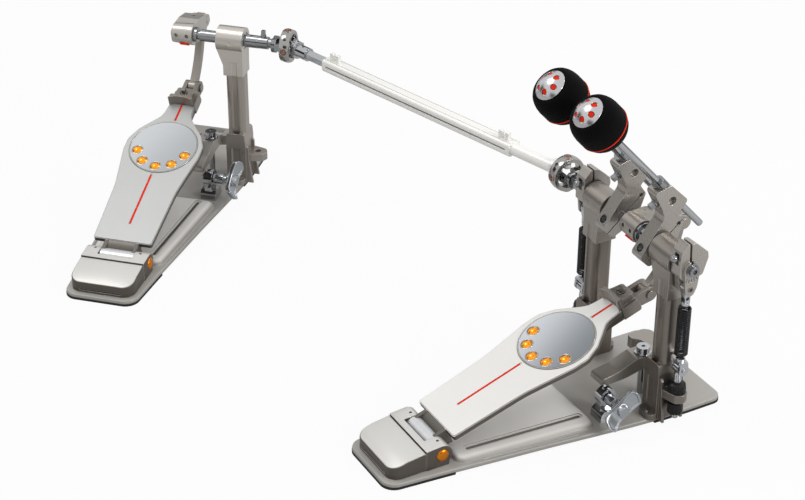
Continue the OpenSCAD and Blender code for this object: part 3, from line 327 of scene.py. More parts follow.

# In a finish, side is a darker tone painted as shade on the faces turned away from up
finishes = {
    # The base plate takes a darker tone below 8 mm, fading out by 12.5 mm: painted shade on its
    # low flange
    "castPlate": dict(coverLook, light=(226, 224, 220), dark=(212, 209, 204), rough=(0.3, 0.42),
                      metal=0.05, edge=0.0009, side=(104, 96, 88), worn=(236, 234, 230),
                      wear=0.4, sweep={"along": (0, 0, -1), "from": -0.0125, "to": -0.008,
                                       "tone": (150, 147, 142), "share": 0.9}),
    "castBlock": dict(coverLook, light=(206, 204, 200), dark=(190, 188, 184), rough=(0.28, 0.4),
                      metal=0.35, edge=0.001, side=(76, 70, 63), worn=(228, 226, 221),
                      wear=0.5),
    "castLink": dict(castLook, light=(162, 157, 150), dark=(144, 139, 132),
                     worn=(222, 219, 213)),
    "linkGrey": dict(castLook, light=(152, 146, 139), dark=(136, 130, 123),
                     worn=(216, 213, 207)),
    "toeGrey": dict(castLook, light=(140, 134, 127), dark=(122, 116, 109), rough=(0.26, 0.36),
                    grainSize=fineGrain, worn=(206, 202, 195)),
    "brushedMain": dict(brushLook, light=(224, 223, 220), dark=(209, 207, 203),
                        turn=(layout["boardTilt"], 0, 0), side=(86, 80, 73),
                        up=boardUp["main"]),
    # The slave board is a darker copy of the main board's finish: painted shade
    "brushedSlaveShaded": dict(brushLook, light=(186, 187, 186), dark=(171, 172, 170),
                         turn=(layout["boardTilt"], 0, layout["slaveYaw"]), side=(84, 78, 71),
                         up=boardUp["slave"]),
    "towerGrey": dict(towerLook, light=(130, 123, 116), dark=(112, 105, 98),
                      worn=(198, 193, 186)),
    "headGrey": dict(towerLook, light=(154, 148, 141), dark=(138, 132, 125),
                     worn=(214, 210, 203)),
    "hubGrey": dict(castLook, light=(168, 163, 157), dark=(152, 147, 141), rough=(0.24, 0.32),
                    bump=0.03, grainSize=(0.0005, 0.0005, 0.008), edge=0.0007,
                    worn=(222, 218, 212), wear=0.6),
    "chrome": dict(polishLook, light=(196, 198, 201), dark=(172, 174, 178), rough=(0.05, 0.1)),
    "rodSteel": dict(polishLook, light=(188, 190, 192), dark=(164, 166, 169),
                     rough=(0.06, 0.1), bump=0.0),
    "rollerSteel": dict(polishLook, light=(206, 207, 208), dark=(192, 193, 195),
                        rough=(0.22, 0.3), metal=0.5, grainSize=turnedGrain),
    "shaftSteel": dict(steelLook, light=(158, 160, 162), dark=(130, 132, 134),
                       rough=(0.1, 0.18), grainSize=turnedGrain),
    "pinSteel": dict(steelLook, light=(146, 141, 135), dark=(124, 120, 114), rough=(0.2, 0.3),
                     metal=0.9, bump=0.03, worn=(206, 203, 197), wear=0.5),
    "wingSteel": dict(steelLook, light=(176, 180, 184), dark=(150, 154, 158),
                      rough=(0.16, 0.26), metal=0.9, worn=(228, 230, 232), wear=0.9),
    "ringSteel": dict(steelLook, light=(172, 171, 168), dark=(146, 144, 141),
                      rough=(0.1, 0.2), edge=0.0006),
    "silverTube": dict(castLook, light=(234, 233, 229), dark=(224, 223, 219),
                       rough=(0.3, 0.36), metal=0.15, bump=0.02),
    "spunCap": dict(polishLook, light=(206, 206, 208), dark=(176, 176, 178), rough=(0.2, 0.3),
                    bump=0.03, grainSize=castGrain),
    "rubber": {"light": (26, 26, 27), "dark": (14, 14, 15), "rough": (0.7, 0.9), "bump": 0.3,
               "grainSize": (0.0008, 0.0008, 0.0008)},
    "lipGrey": dict(castLook, light=(104, 99, 93), dark=(86, 82, 76), rough=(0.3, 0.4),
                    metal=0.6, bump=0.05, grainSize=(0.02, 0.0008, 0.0008), edge=0.0006,
                    worn=(150, 145, 138), wear=0.4),
    "blackSteel": dict(steelLook, light=(24, 24, 25), dark=(10, 10, 11), rough=(0.24, 0.32),
                       metal=0.0, edge=0.0003, specular=0.25),
    "coilSteel": {"light": (52, 52, 54), "dark": (26, 26, 28), "rough": (0.14, 0.22),
                  "metal": 0.8, "bump": 0.02},
    "amber": {"light": (255, 172, 14), "dark": (242, 142, 4), "rough": (0.1, 0.18),
              "metal": 0.7, "bump": 0.0, "coat": 0.4, "cloudScale": 30.0},
    "amberCap": {"light": (230, 138, 8), "dark": (190, 102, 4), "rough": (0.2, 0.28),
                 "metal": 1.0, "bump": 0.0, "coat": 0.3, "cloudScale": 30.0},
    # The discs' sweeps paint a reflection, darker on one side
    "mirrorMain": dict(mirrorLook, light=(214, 217, 221), dark=(206, 210, 215),
                       sweep=discPaintedReflection("main", (132, 137, 142))),
    "mirrorSlave": dict(mirrorLook, light=(212, 216, 218), dark=(204, 208, 212),
                        sweep=discPaintedReflection("slave", (178, 182, 185))),
    "felt": {"light": (13, 12, 12), "dark": (3, 3, 3), "rough": (0.85, 1.0), "bump": 0.9,
             "grainSize": castGrain, "sheen": 0.03, "specular": 0.05},
    "redPaint": {"light": (216, 44, 4), "dark": (198, 32, 2), "rough": (0.4, 0.5),
                 "bump": 0.0, "specular": 0.12},
    "copper": {"light": (168, 122, 102), "dark": (126, 88, 70), "rough": (0.25, 0.4),
               "metal": 0.9, "bump": 0.05},
    "darkRim": {"light": (44, 42, 42), "dark": (28, 27, 27), "rough": (0.3, 0.4),
                "bump": 0.0},
    "paleRim": {"light": (222, 216, 204), "dark": (206, 199, 186), "rough": (0.2, 0.3),
                "metal": 0.6, "bump": 0.0},
}
# The slave pedal's castings stand in fuller light on the photo
# These lighter copies of the finishes paint that fuller light onto the slave's castings
litCastings = {"headLit": ("headGrey", (196, 191, 184), (182, 177, 170)),
                "towerLit": ("towerGrey", (162, 155, 148), (146, 139, 132)),
                "linkLit": ("castLink", (184, 180, 174), (168, 164, 158))}
for name, (base, light, dark) in litCastings.items():
    finishes[name] = dict(finishes[base], light=light, dark=dark)
materials = {name: surfaceMaterial(name, look) for name, look in finishes.items()}
print("materials made")

cadFinish = {
    "castPlate": ["main_base_plate", "slave_base_plate"],
    "castBlock": ["main_heel_block", "slave_heel_block"],
    "castLink": ["main_crank", "main_clamp_arm"],
    "linkLit": ["slave_crank", "slave_clamp_arm"],
    "linkGrey": ["main_link", "slave_link"],
    "toeGrey": ["main_toe_block", "slave_toe_block"],
    "brushedMain": ["main_footboard"],
    "brushedSlaveShaded": ["slave_footboard"],
    "towerGrey": ["main_towers"],
    "towerLit": ["slave_tower"],
    "headGrey": ["main_heads"],
    "headLit": ["slave_head"],
    "hubGrey": ["main_hub", "left_hub", "main_spring_lever", "left_spring_lever"],
    "chrome": ["main_bearings", "slave_bearings", "main_hardware", "slave_hardware",
               "right_spring_swivel", "left_spring_swivel", "right_spring_fork",
               "left_spring_fork"],
    "rodSteel": ["main_beater_rod", "left_beater_rod", "slave_slide_bar"],
    "shaftSteel": ["main_shaft", "left_shaft", "slave_shaft"],
    "pinSteel": ["main_clevis_pin", "slave_clevis_pin"],
    "ringSteel": ["main_ujoint_ring", "slave_ujoint_ring"],
    "rollerSteel": ["main_hinge_pin", "slave_hinge_pin"],
    "wingSteel": ["main_wing_bolt", "slave_wing_bolt"],
    "spunCap": ["main_beater_core", "left_beater_core"],
    "silverTube": ["connecting_tube"],
    "rubber": ["main_rubber_pads", "slave_rubber_pads"],
    "blackSteel": ["right_tension_knobs", "left_tension_knobs", "right_spring",
                   "left_spring"],
    "amber": ["main_side_caps", "slave_side_caps", "main_domes", "slave_domes"],
    "mirrorMain": ["main_disc"],
    "mirrorSlave": ["slave_disc"],
    "felt": ["main_beater_felt", "left_beater_felt"],
}
for finish, names in cadFinish.items():
    for name in names:
        mesh = nodes[name].data
        mesh.materials.clear()
        mesh.materials.append(materials[finish])


# Finishes a piece's mesh and lets it ride on its body
def addPiece(name, bm, finish, body, place=None, smooth=40, replaces=()):
    bmesh.ops.remove_doubles(bm, verts=bm.verts, dist=2e-6)
    bmesh.ops.recalc_face_normals(bm, faces=bm.faces)
    if place is not None:
        bmesh.ops.transform(bm, matrix=place, verts=bm.verts)
    mesh = bpy.data.meshes.new(name)
    bm.to_mesh(mesh)
    bm.free()
    for face in mesh.polygons:
        face.use_smooth = smooth > 0
    if smooth:
        mesh.set_sharp_from_angle(angle=math.radians(smooth))
    mesh.materials.append(materials[finish])
    piece = bpy.data.objects.new(name, mesh)
    bpy.context.scene.collection.objects.link(piece)
    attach(piece, body)
    if replaces:
        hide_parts(*replaces)
    return piece


def shift(bm, old, place):
    bmesh.ops.transform(bm, matrix=place, verts=[v for v in bm.verts if v not in old])


# Turns a profile of (radius, height) points in millimetres about z; a ring closes on itself
def lathe(bm, profile, steps=64, ring=False, place=None):
    old = set(bm.verts)
    points = [bm.verts.new((r * mm, 0, z * mm)) for r, z in profile]
    edges = [bm.edges.new(pair) for pair in zip(points, points[1:])]
    if ring:
        edges.append(bm.edges.new((points[-1], points[0])))
    bmesh.ops.spin(bm, geom=points + edges, cent=(0, 0, 0), axis=(0, 0, 1),
                   angle=2 * math.pi, steps=steps, use_merge=True)
    if place is not None:
        shift(bm, old, place)


# Rounds edges by a size in millimetres
def roundEdges(bm, edges, size, segments=3, clamp=True):
    bmesh.ops.bevel(bm, geom=edges, offset=size * mm, offset_type="OFFSET", segments=segments,
                    profile=0.5, affect="EDGES", material=-1, clamp_overlap=clamp)


# Rounds the rim that a mesh has at one height
def roundRim(bm, size, height, segments=3):
    rim = [e for e in bm.edges if len(e.link_faces) == 2
           and all(abs(v.co.z - height * mm) < tiny for v in e.verts)]
    roundEdges(bm, rim, size, segments)


# A box of a size in millimetres, with its middle at the place
def addBox(bm, size, place):
    old = set(bm.verts)
    bmesh.ops.create_cube(bm, size=1.0)
    shift(bm, old, place @ Matrix.Diagonal([side * mm for side in size] + [1]))


def box(size, place):
    bm = bmesh.new()
    addBox(bm, size, place)
    return bm


# A straight body from the points of its first face and the way it goes, in millimetres
def extrude(bm, points, way):
    face = bm.faces.new([bm.verts.new([c * mm for c in point]) for point in points])
    made = bmesh.ops.extrude_face_region(bm, geom=[face])
    far = [v for v in made["geom"] if isinstance(v, bmesh.types.BMVert)]
    bmesh.ops.translate(bm, vec=[c * mm for c in way], verts=far)


# A flat bar with round ends, from y0 to y1, between two heights
def inlayBar(bm, y0, y1, width, z0, z1):
    old = set(bm.verts)
    addBox(bm, (width, y1 - y0, z1 - z0), moveMm(0, (y0 + y1) / 2, (z0 + z1) / 2))
    upright = [e for e in bm.edges if e.verts[0] not in old
               and abs(e.verts[0].co.z - e.verts[1].co.z) > 0.5 * (z1 - z0) * mm]
    almostHalf = 0.49
    roundEdges(bm, upright, width * almostHalf, 6, False)


# A flat block from its corners (x, y, radius), with its upright edges rounded
def slab(corners, low, high, segments=8):
    bm = bmesh.new()
    extrude(bm, [(x, y, low) for x, y, r in corners], (0, 0, high - low))
    for x, y, r in corners:
        if r:
            spot = Vector((x, y)) * mm
            upright = [e for e in bm.edges if all((v.co.xy - spot).length < tiny for v in e.verts)]
            roundEdges(bm, upright, r, segments, False)
    bmesh.ops.recalc_face_normals(bm, faces=bm.faces)
    return bm


# Joins shapes to a mesh or cuts them out of it, and gives back one closed mesh
def combine(bm, others, operation):
    scene = bpy.context.scene

    def hold(part):
        mesh = bpy.data.meshes.new("work")
        part.to_mesh(mesh)
        part.free()
        held = bpy.data.objects.new("work", mesh)
        scene.collection.objects.link(held)
        return held

    base, tools = hold(bm), [hold(other) for other in others]
    for tool in tools:
        change = base.modifiers.new("combine", "BOOLEAN")
        change.operation, change.solver, change.object = operation, "EXACT", tool
    graph = bpy.context.evaluated_depsgraph_get()
    done = bmesh.new()
    done.from_mesh(base.evaluated_get(graph).to_mesh())
    for held in [base] + tools:
        mesh = held.data
        bpy.data.objects.remove(held)
        bpy.data.meshes.remove(mesh)
    return done


def mirrored(corners):
    return corners + [(-x, y, r) for x, y, r in reversed(corners)]


# A bar with round ends between two points, as a cutter
def slotCutter(x0, y0, x1, y1, width, low, high):
    length = math.hypot(x1 - x0, y1 - y0)
    bm = bmesh.new()
    inlayBar(bm, -width / 2, length + width / 2, width, low, high)
    bmesh.ops.transform(bm, verts=bm.verts, matrix=moveMm(x0, y0, 0)
                        @ turn(math.degrees(math.atan2(x0 - x1, y1 - y0)), "Z"))
    return bm


# Base plates with their raised panel and long slots
basePlate = {
    "low": 2, "top": 7, "edge": 1.4, "lowEdge": 0.5, "cutPast": 1, "panelSink": 1,
    "outline": [(44.4, -328, 15), (55.5, -200, 60), (78, -10, 40), (78, 76, 12)],
    "panel": [(47.2, -244, 10), (61.3, -78, 12)],
    # inward steps of the panel's slope, and their heights
    "slope": [(0.5, 1.3), (0.8, 1.3), (1.1, 1.1), (1.4, 0.9), (1.6, 0.7), (1.6, 0.4), (1.4, 0.2)],
    "slots": [(31.2, -224, 39.8, -90)], "slotWidth": 4, "grooveWidth": 9.5, "grooveDepth": 1.2,
    "flangeLine": (50.6, -215, 62.8, -104, 1.1, 0.5),
}


def makeBasePlate(look):
    low, top, past = look["low"], look["top"], look["cutPast"]
    plate = slab(mirrored(look["outline"]), low, top)
    roundRim(plate, look["edge"], top)
    roundRim(plate, look["lowEdge"], low, 2)
    panel = slab(mirrored(look["panel"]), top - look["panelSink"], top)
    crown = max(panel.faces, key=lambda f: f.calc_center_median().z)
    for inward, rise in look["slope"]:
        bmesh.ops.inset_region(panel, faces=[crown], thickness=inward * mm, depth=rise * mm)
    panelTop = top + sum(rise for inward, rise in look["slope"])
    plate = combine(plate, [panel], "UNION")
    cuts = []
    for x0, y0, x1, y1 in look["slots"]:
        cuts += [(x0, y0, x1, y1, look["grooveWidth"], panelTop - look["grooveDepth"],
                  panelTop + 2 * past),
                 (x0, y0, x1, y1, look["slotWidth"], low - past, panelTop + past)]
    x0, y0, x1, y1, width, depth = look["flangeLine"]
    cuts.append((x0, y0, x1, y1, width, top - depth, top + past))
    cutters = [slotCutter(side * x0, y0, side * x1, y1, *rest)
               for x0, y0, x1, y1, *rest in cuts for side in (-1, 1)]
    return combine(plate, cutters, "DIFFERENCE")


# Rubber pads under the heel and the toe, lapping over the plate's lower edge
pads = {"grow": 0.35, "high": 3.1, "edge": 0.4, "middle": -100, "gap": (-250, -14),
        "gapSize": (400, 100)}


def makePads(look):
    grow = look["grow"]
    corners = [(x + grow, y + math.copysign(grow, y - look["middle"]), r)
               for x, y, r in basePlate["outline"]]
    bm = slab(mirrored(corners), 0, look["high"])
    roundRim(bm, look["edge"], look["high"], 2)
    low, high = look["gap"]
    wide, deep = look["gapSize"]
    between = box((wide, high - low, deep), moveMm(0, (low + high) / 2, 0))
    return combine(bm, [between], "DIFFERENCE")


for pedal in ("main", "slave"):
    addPiece(pedal + "_pads", makePads(pads), "rubber", pedal + "_frame",
             pedalPlace[pedal], smooth=35, replaces=[pedal + "_rubber_pads"])
    addPiece(pedal + "_plate", makeBasePlate(basePlate), "castPlate", pedal + "_frame",
             pedalPlace[pedal], smooth=32, replaces=[pedal + "_base_plate"])
print("base plates made")

# Heel blocks: a cover with a sloping top, and the cheeks that hold the roller
heel = {
    "hinge": (-259.5, 21), "coverLine": -279, "halfWidth": 40, "front": -321, "frontRound": 14,
    "seam": 0.14, "coverLow": 7.6, "coverHigh": 40, "edge": 1.6,
    "tops": [((-279.2, 30), 0.15), ((-322, 20.4), 0.3)],  # (y, z) on each slope, and its fall
    "slot": (52, 2.1, 3, 11), "shadeInset": 0.25, "shadeGap": (0.1, 0.05),
    "cheekRadius": 12, "cheekLow": 7, "cheekOut": 0.4, "cheekFront": 8, "cheekDrop": 1.6,
    "cheekEdge": 0.9, "room": (44, 44, 40), "roomAt": (10, 25),
    "screwAt": 29, "screwRadius": 1.7, "screwLong": 8,
    "capRadius": 7.4, "capAt": 39.4, "capFoot": 0.9, "capRise": 2.9,
    # the roller, and the lip and ears of the board that reach to it
    "rollRadius": 11.35, "rollHalf": 21.7, "rollEdge": 0.7, "pinRadius": 5, "pinHalf": 38.6,
    "lip": [(56, 11.8), (24, 11.8), (-20, 11.8), (-5, 23), (41, 22.5), (47, 21.8), (54, 16.4)],
    "ear": [(88, 11.45), (36, 11.45), (-20, 11.45), (-5, 23), (41, 22.5), (47.5, 22.2),
            (63, 15.2), (84, 11.75)],
    "earFrom": 17.3, "lipHalf": 21.8, "lipSteps": 6,
}


def makeHeelCover(look):
    line, wide = look["coverLine"] - look["seam"], look["halfWidth"]
    front, r = look["front"], look["frontRound"]
    bm = slab([(wide, line, 0), (-wide, line, 0), (-wide, front, r), (wide, front, r)],
              look["coverLow"], look["coverHigh"])
    for (y, z), slope in look["tops"]:
        cut = bmesh.ops.bisect_plane(bm, geom=bm.verts[:] + bm.edges[:] + bm.faces[:],
                                     dist=tiny, plane_co=Vector((0, y, z)) * mm,
                                     plane_no=(0, -slope, 1), clear_outer=True)
        rim = [e for e in cut["geom_cut"] if isinstance(e, bmesh.types.BMEdge)]
        bmesh.ops.holes_fill(bm, edges=rim)
    bmesh.ops.recalc_face_normals(bm, faces=bm.faces)
    tops = [f for f in bm.faces if f.normal.z > 0.7]
    roundEdges(bm, [e for e in bm.edges if sum(f in tops for f in e.link_faces) == 1],
               look["edge"])
    width, high, deep, at = look["slot"]
    return combine(bm, [box((width, 2 * deep, high), moveMm(0, front, at))], "DIFFERENCE")


def makeCheeks(look):
    y0, z0 = look["hinge"]
    line, wide = look["coverLine"] + look["seam"], look["halfWidth"] + look["cheekOut"]
    low, r = look["cheekLow"], look["cheekRadius"]
    points = [(line, low), (y0 + look["cheekFront"], low)]
    for a in range(-40, 91, 10):
        points.append((y0 + r * math.cos(math.radians(a)), z0 + r * math.sin(math.radians(a))))
    points.append((line, z0 + r - look["cheekDrop"]))
    bm = bmesh.new()
    extrude(bm, [(-wide, y, z) for y, z in points], (2 * wide, 0, 0))
    bmesh.ops.recalc_face_normals(bm, faces=bm.faces)
    along = [e for e in bm.edges if abs(e.verts[0].co.x - e.verts[1].co.x) < tiny
             and max(v.co.z for v in e.verts) > (low + 1) * mm]
    roundEdges(bm, along, look["cheekEdge"], 2)
    back, up = look["roomAt"]
    holes = [box(look["room"], moveMm(0, y0 + back, up))]
    for x in (-look["screwAt"], look["screwAt"]):
        hole = bmesh.new()
        bmesh.ops.create_cone(hole, cap_ends=True, segments=24, radius1=look["screwRadius"] * mm,
                              radius2=look["screwRadius"] * mm, depth=look["screwLong"] * mm)
        bmesh.ops.transform(hole, verts=hole.verts, matrix=moveMm(x, y0, z0 + r))
        holes.append(hole)
    return combine(bm, holes, "DIFFERENCE")


# One part of the lip, from its outline (degrees, radius) round the hinge
def addLip(bm, outline, x0, x1):
    ring = []
    for (a, r), (b, q) in zip(outline, outline[1:] + outline[:1]):
        steps = heel["lipSteps"] if r == q else 1
        for i in range(steps):
            angle = math.radians(a + (b - a) * i / steps)
            ring.append((x0, r * math.cos(angle), r * math.sin(angle)))
    extrude(bm, ring, (x1 - x0, 0, 0))


def makeCaps(look):
    bm = bmesh.new()
    r, foot, rise = look["capRadius"], look["capFoot"], look["capRise"]
    arc = [math.radians(a) for a in (15, 30, 45, 60, 75)]
    profile = [(nearAxis, 0), (r, 0), (r, foot)]
    profile += [(r * math.cos(a), foot + rise * math.sin(a)) for a in arc]
    profile += [(nearAxis, foot + rise)]
    for side in (-1, 1):
        lathe(bm, profile, steps=48, place=moveMm(side * look["capAt"], *look["hinge"])
              @ turn(side * 90, "Y"))
    return bm


# A dark box that fills the cover's front slot short of its walls: painted shade in the slot
def makeSlotShade(look):
    width, high, deep, at = look["slot"]
    inset, (wideGap, highGap) = look["shadeInset"], look["shadeGap"]
    return box((width - wideGap, deep - inset, high - highGap),
               moveMm(0, look["front"] + (deep + inset) / 2, at))


def makeRoller(look):
    bm = bmesh.new()
    half, r, edge = look["rollHalf"], look["rollRadius"], look["rollEdge"]
    thin, out = look["pinRadius"], look["pinHalf"]
    lathe(bm, [(nearAxis, -out), (thin, -out), (thin, -half), (r - edge, -half),
               (r, edge - half), (r, half - edge), (r - edge, half), (thin, half), (thin, out),
               (nearAxis, out)],
          steps=64, place=moveMm(0, *look["hinge"]) @ turn(90, "Y"))
    return bm


for pedal in ("main", "slave"):
    place = pedalPlace[pedal]
    body = pedal + "_frame"
    addPiece(pedal + "_heel_cover", makeHeelCover(heel), "castBlock", body,
             place, smooth=35, replaces=[pedal + "_heel_block"])
    addPiece(pedal + "_heel_cheeks", makeCheeks(heel), "castBlock", body,
             place, smooth=35)
    addPiece(pedal + "_hinge_caps", makeCaps(heel), "amberCap", body, place,
             replaces=[pedal + "_side_caps"])
    # The dark box in the front slot is painted shade
    addPiece(pedal + "_cover_slot_shade", makeSlotShade(heel), "darkRim", body, place, smooth=0)
    addPiece(pedal + "_roller", makeRoller(heel), "rollerSteel", body, place,
             replaces=[pedal + "_hinge_pin"])
    bm = bmesh.new()
    for outline, x0, x1 in ((heel["lip"], -heel["earFrom"], heel["earFrom"]),
                            (heel["ear"], heel["earFrom"], heel["lipHalf"]),
                            (heel["ear"], -heel["lipHalf"], -heel["earFrom"])):
        addLip(bm, outline, x0, x1)
    addPiece(pedal + "_hinge_lip", bm, "lipGrey", pedal + "_pedal",
             place @ moveMm(0, *heel["hinge"]), smooth=35)
print("heel blocks made")

# Wing bolts: a blade with a raised rim on a barrel
wing = {
    "at": (-60, 34), "blade": [(-25, -3, 3.5), (-22, -11, 3.5), (-9, -8, 5), (9, -9, 5),
                               (20, -9, 3.5), (25, 3, 3.5), (22, 11, 3.5), (9, 8, 5),
                               (-9, 9, 5), (-20, 9, 3.5)],
    "turn": 38, "from": 74.5, "thick": 6.5, "edge": 0.8, "rim": 1.3, "sink": 1.1,
    "sinkWall": 0.8, "longest": 6, "sweep": 6.5, "sweepFrom": 7, "sweepOver": 18, "twist": 20,
    "barrel": [(nearAxis, 37.6), (3.9, 37.6), (4, 38), (4, 52.6), (6.4, 53), (6.6, 53.4),
               (6.6, 65.6), (6.2, 66), (4.6, 66.4), (4.6, 69.4), (6.9, 70), (7.1, 70.6),
               (7.1, 83), (6.4, 84), (nearAxis, 84)],
}
for pedal in ("main", "slave"):
    blade = slab(wing["blade"], 0, wing["thick"], 5)
    for sense in (1, -1):
        face = max(blade.faces, key=lambda f: f.calc_center_median().z * sense)
        roundEdges(blade, [e for e in blade.edges if face in e.link_faces], wing["edge"], 2)
        face = max(blade.faces, key=lambda f: (round(f.calc_center_median().z * sense, 6),
                                               f.calc_area()))
        bmesh.ops.inset_region(blade, faces=[face], thickness=wing["rim"] * mm, depth=0)
        bmesh.ops.inset_region(blade, faces=[face], thickness=wing["sinkWall"] * mm,
                               depth=-wing["sink"] * mm)
    long = [e for e in blade.edges if e.calc_length() > wing["longest"] * mm]
    bmesh.ops.subdivide_edges(blade, edges=long, cuts=5, use_grid_fill=True)
    bmesh.ops.triangulate(blade, faces=[f for f in blade.faces if len(f.verts) > 4])
    for v in blade.verts:
        out = max(0.0, abs(v.co.x) / mm - wing["sweepFrom"]) / wing["sweepOver"]
        v.co.z += wing["sweep"] * mm * out * out
    middle = Matrix.Translation((0, 0, wing["thick"] / 2 * mm))
    bmesh.ops.transform(blade, verts=blade.verts,
                        matrix=middle @ turn(-wing["twist"], "X") @ middle.inverted())
    # the blade's own x and y become the pedal's y and z
    stand = Matrix(((0, 0, 1, 0), (1, 0, 0, 0), (0, 1, 0, 0), (0, 0, 0, 1)))
    bmesh.ops.transform(blade, verts=blade.verts, matrix=moveMm(wing["from"], 0, 0) @ stand
                        @ turn(wing["turn"], "Z"))
    lathe(blade, wing["barrel"], steps=40, place=turn(90, "Y"))
    addPiece(pedal + "_wing", blade, "wingSteel", pedal + "_wing",
             pedalPlace[pedal] @ moveMm(0, *wing["at"]), smooth=35,
             replaces=[pedal + "_wing_bolt"])
print("wing bolts made")

# Red centre line, dark rim, amber domes and their polished seats on both footboards
board = {
    "lines": [(28.7, 110.4), (205.4, 232.8)], "lineFloor": -0.5, "rimEdge": 0.2,
    "inlays": [  # name, finish, slot, width, top
        ("centre_line", "redPaint", None, 2.7, -0.06),
        ("line_bed", "darkRim", "black", 2.78, -0.26),
    ],
    "rims": [  # name, finish, slot, inner and outer radius, floor and top
        ("outer_line", "darkRim", "black", 43.42, 43.9, 0.18, 0.36),
        ("disc_rim", "paleRim", "polished_steel", 42.7, 43.4, 0.18, 0.74),
        ("inner_line", "darkRim", "black", 42.2, 42.58, 0.5, 0.68),
    ],
    "domeArc": 33, "domeStep": 36, "domeBall": 8.4, "domeDrop": 5.2, "domeRadius": 6.24,
    "domeFoot": -2.9, "domeRings": 10,
    "seat": [(6.5, 0.5), (6.5, 0.72), (6.7, 0.92), (7.05, 1.0), (7.4, 0.92), (7.7, 0.7),
             (7.8, 0.5)],
    # a dark ring in the gap round each dome, as painted shade
    "gap": [(6.28, 0.5), (6.28, 0.64), (6.5, 0.68), (6.5, 0.5)],
}
for pedal in ("main", "slave"):
    place = boardPlace(pedal)
    discPlace = place @ moveMm(0, layout["discAlong"], 0)
    body = pedal + "_pedal"
    for name, finish, slot, width, top in board["inlays"]:
        bm = bmesh.new()
        for start, end in board["lines"]:
            inlayBar(bm, start, end, width, board["lineFloor"], top)
        addPiece(pedal + "_" + name, bm, finish, body, place)
    for name, finish, slot, inner, outer, floor, top in board["rims"]:
        ease = min(board["rimEdge"], (outer - inner) / 3, (top - floor) / 2)
        bm = bmesh.new()
        lathe(bm, [(inner, floor), (inner, top - ease), (inner + ease, top),
                   (outer - ease, top), (outer, top - ease), (outer, floor)],
              steps=96, ring=True)
        addPiece(pedal + "_" + name, bm, finish, body, discPlace)
    ball, foot, rings = board["domeBall"], board["domeFoot"], board["domeRings"]
    reach = math.asin(board["domeRadius"] / ball)
    arc = [reach * (1 - i / rings) for i in range(rings)]
    profile = [(nearAxis, foot), (board["domeRadius"], foot)]
    profile += [(ball * math.sin(a), ball * math.cos(a) - board["domeDrop"]) for a in arc]
    profile += [(nearAxis, ball - board["domeDrop"])]
    domes, seats, gapShades = bmesh.new(), bmesh.new(), bmesh.new()
    for i in range(-2, 3):
        spot = turn(board["domeStep"] * i - 90, "Z") @ moveMm(board["domeArc"], 0, 0)
        lathe(domes, profile, steps=32, place=spot)
        lathe(seats, board["seat"], steps=48, ring=True, place=spot)
        lathe(gapShades, board["gap"], steps=48, ring=True, place=spot)
    addPiece(pedal + "_amber_domes", domes, "amber", body, discPlace,
             replaces=[pedal + "_domes"])
    addPiece(pedal + "_dome_seats", seats, "chrome", body, discPlace)
    # The dark rings round the domes are painted shade in their gaps
    addPiece(pedal + "_dome_gap_shade", gapShades, "darkRim", body, discPlace)
print("footboard inlays, rims and domes made")

# Felt, red ring and red dots of both beaters
beater = {
    "felt": [(9.2, -22.9), (14, -23), (17.6, -22.4), (20.5, -21), (22.8, -19), (24.8, -16),
             (26.2, -12.6), (27.1, -8.8), (27.5, -4.5), (27.5, 4.5), (27, 9), (26, 13),
             (24.5, 16.6), (22.5, 19.4), (20.4, 21), (18.9, 21.3), (18.1, 20.6), (18, 19.9),
             (9.2, 19.9)],
    "ringAt": -8.9, "ringRadius": 26.85, "ringThick": 0.8,
    "dotArc": 10.7, "dotHeight": 26.3, "dotTilt": 29, "dotCount": 6,
    "dot": [(nearAxis, -2.6), (2.9, -2.6), (2.9, -0.3), (2.6, 0), (nearAxis, 0.15)],
}
for side, x in (("main", layout["hubX"]), ("left", -layout["hubX"])):
    place = beaterPlace(x)
    body = side + "_beater"
    bm = bmesh.new()
    lathe(bm, beater["felt"], steps=80, ring=True)
    addPiece(side + "_felt", bm, "felt", body, place, replaces=[side + "_beater_felt"])
    bm = bmesh.new()
    r, t = beater["ringRadius"], beater["ringThick"]
    ringTurn = [math.radians(a) for a in range(0, 360, 36)]
    lathe(bm, [(r + t * math.cos(a), beater["ringAt"] + t * math.sin(a)) for a in ringTurn],
          steps=80, ring=True)
    addPiece(side + "_felt_ring", bm, "redPaint", body, place)
    bm = bmesh.new()
    for i in range(beater["dotCount"]):
        spot = moveMm(beater["dotArc"], 0, beater["dotHeight"]) @ turn(beater["dotTilt"], "Y")
        lathe(bm, beater["dot"], steps=24, place=turn(360 / beater["dotCount"] * i, "Z") @ spot)
    addPiece(side + "_cap_dots", bm, "redPaint", body, place)
print("beaters dressed")

# Copper bushes in the rings of the universal joints
bush = [(1.2, 19), (3.75, 19), (3.75, 20.55), (3.35, 20.95), (1.7, 20.95), (1.2, 20.45)]
ringPlaces = {"main": moveMm(-layout["mainJointX"], 0, layout["shaftZ"]),
              "slave": pedalPlace["slave"] @ moveMm(layout["slaveJointX"], 0, layout["shaftZ"])}
for pedal, place in ringPlaces.items():
    bm = bmesh.new()
    for i in range(4):
        lathe(bm, bush, steps=24, ring=True, place=turn(90 * i, "X"))
    addPiece(pedal + "_joint_bushes", bm, "copper", pedal + "_ring", place)
print("joint bushes made")

# Red marks under the crank barrels
mark = {"size": (12, 6, 1.8), "edge": 0.4, "middle": 2, "reach": 13.9, "angle": 42.2}
for pedal in ("main", "slave"):
    bm = box(mark["size"], Matrix.Identity(4))
    roundEdges(bm, bm.edges[:], mark["edge"], 2, False)
    addPiece(pedal + "_crank_mark", bm, "redPaint", pedal + "_rotor",
             pedalPlace[pedal] @ moveMm(mark["middle"], 0, layout["shaftZ"])
             @ turn(-mark["angle"], "X") @ moveMm(0, 0, -mark["reach"]))
print("crank marks made")

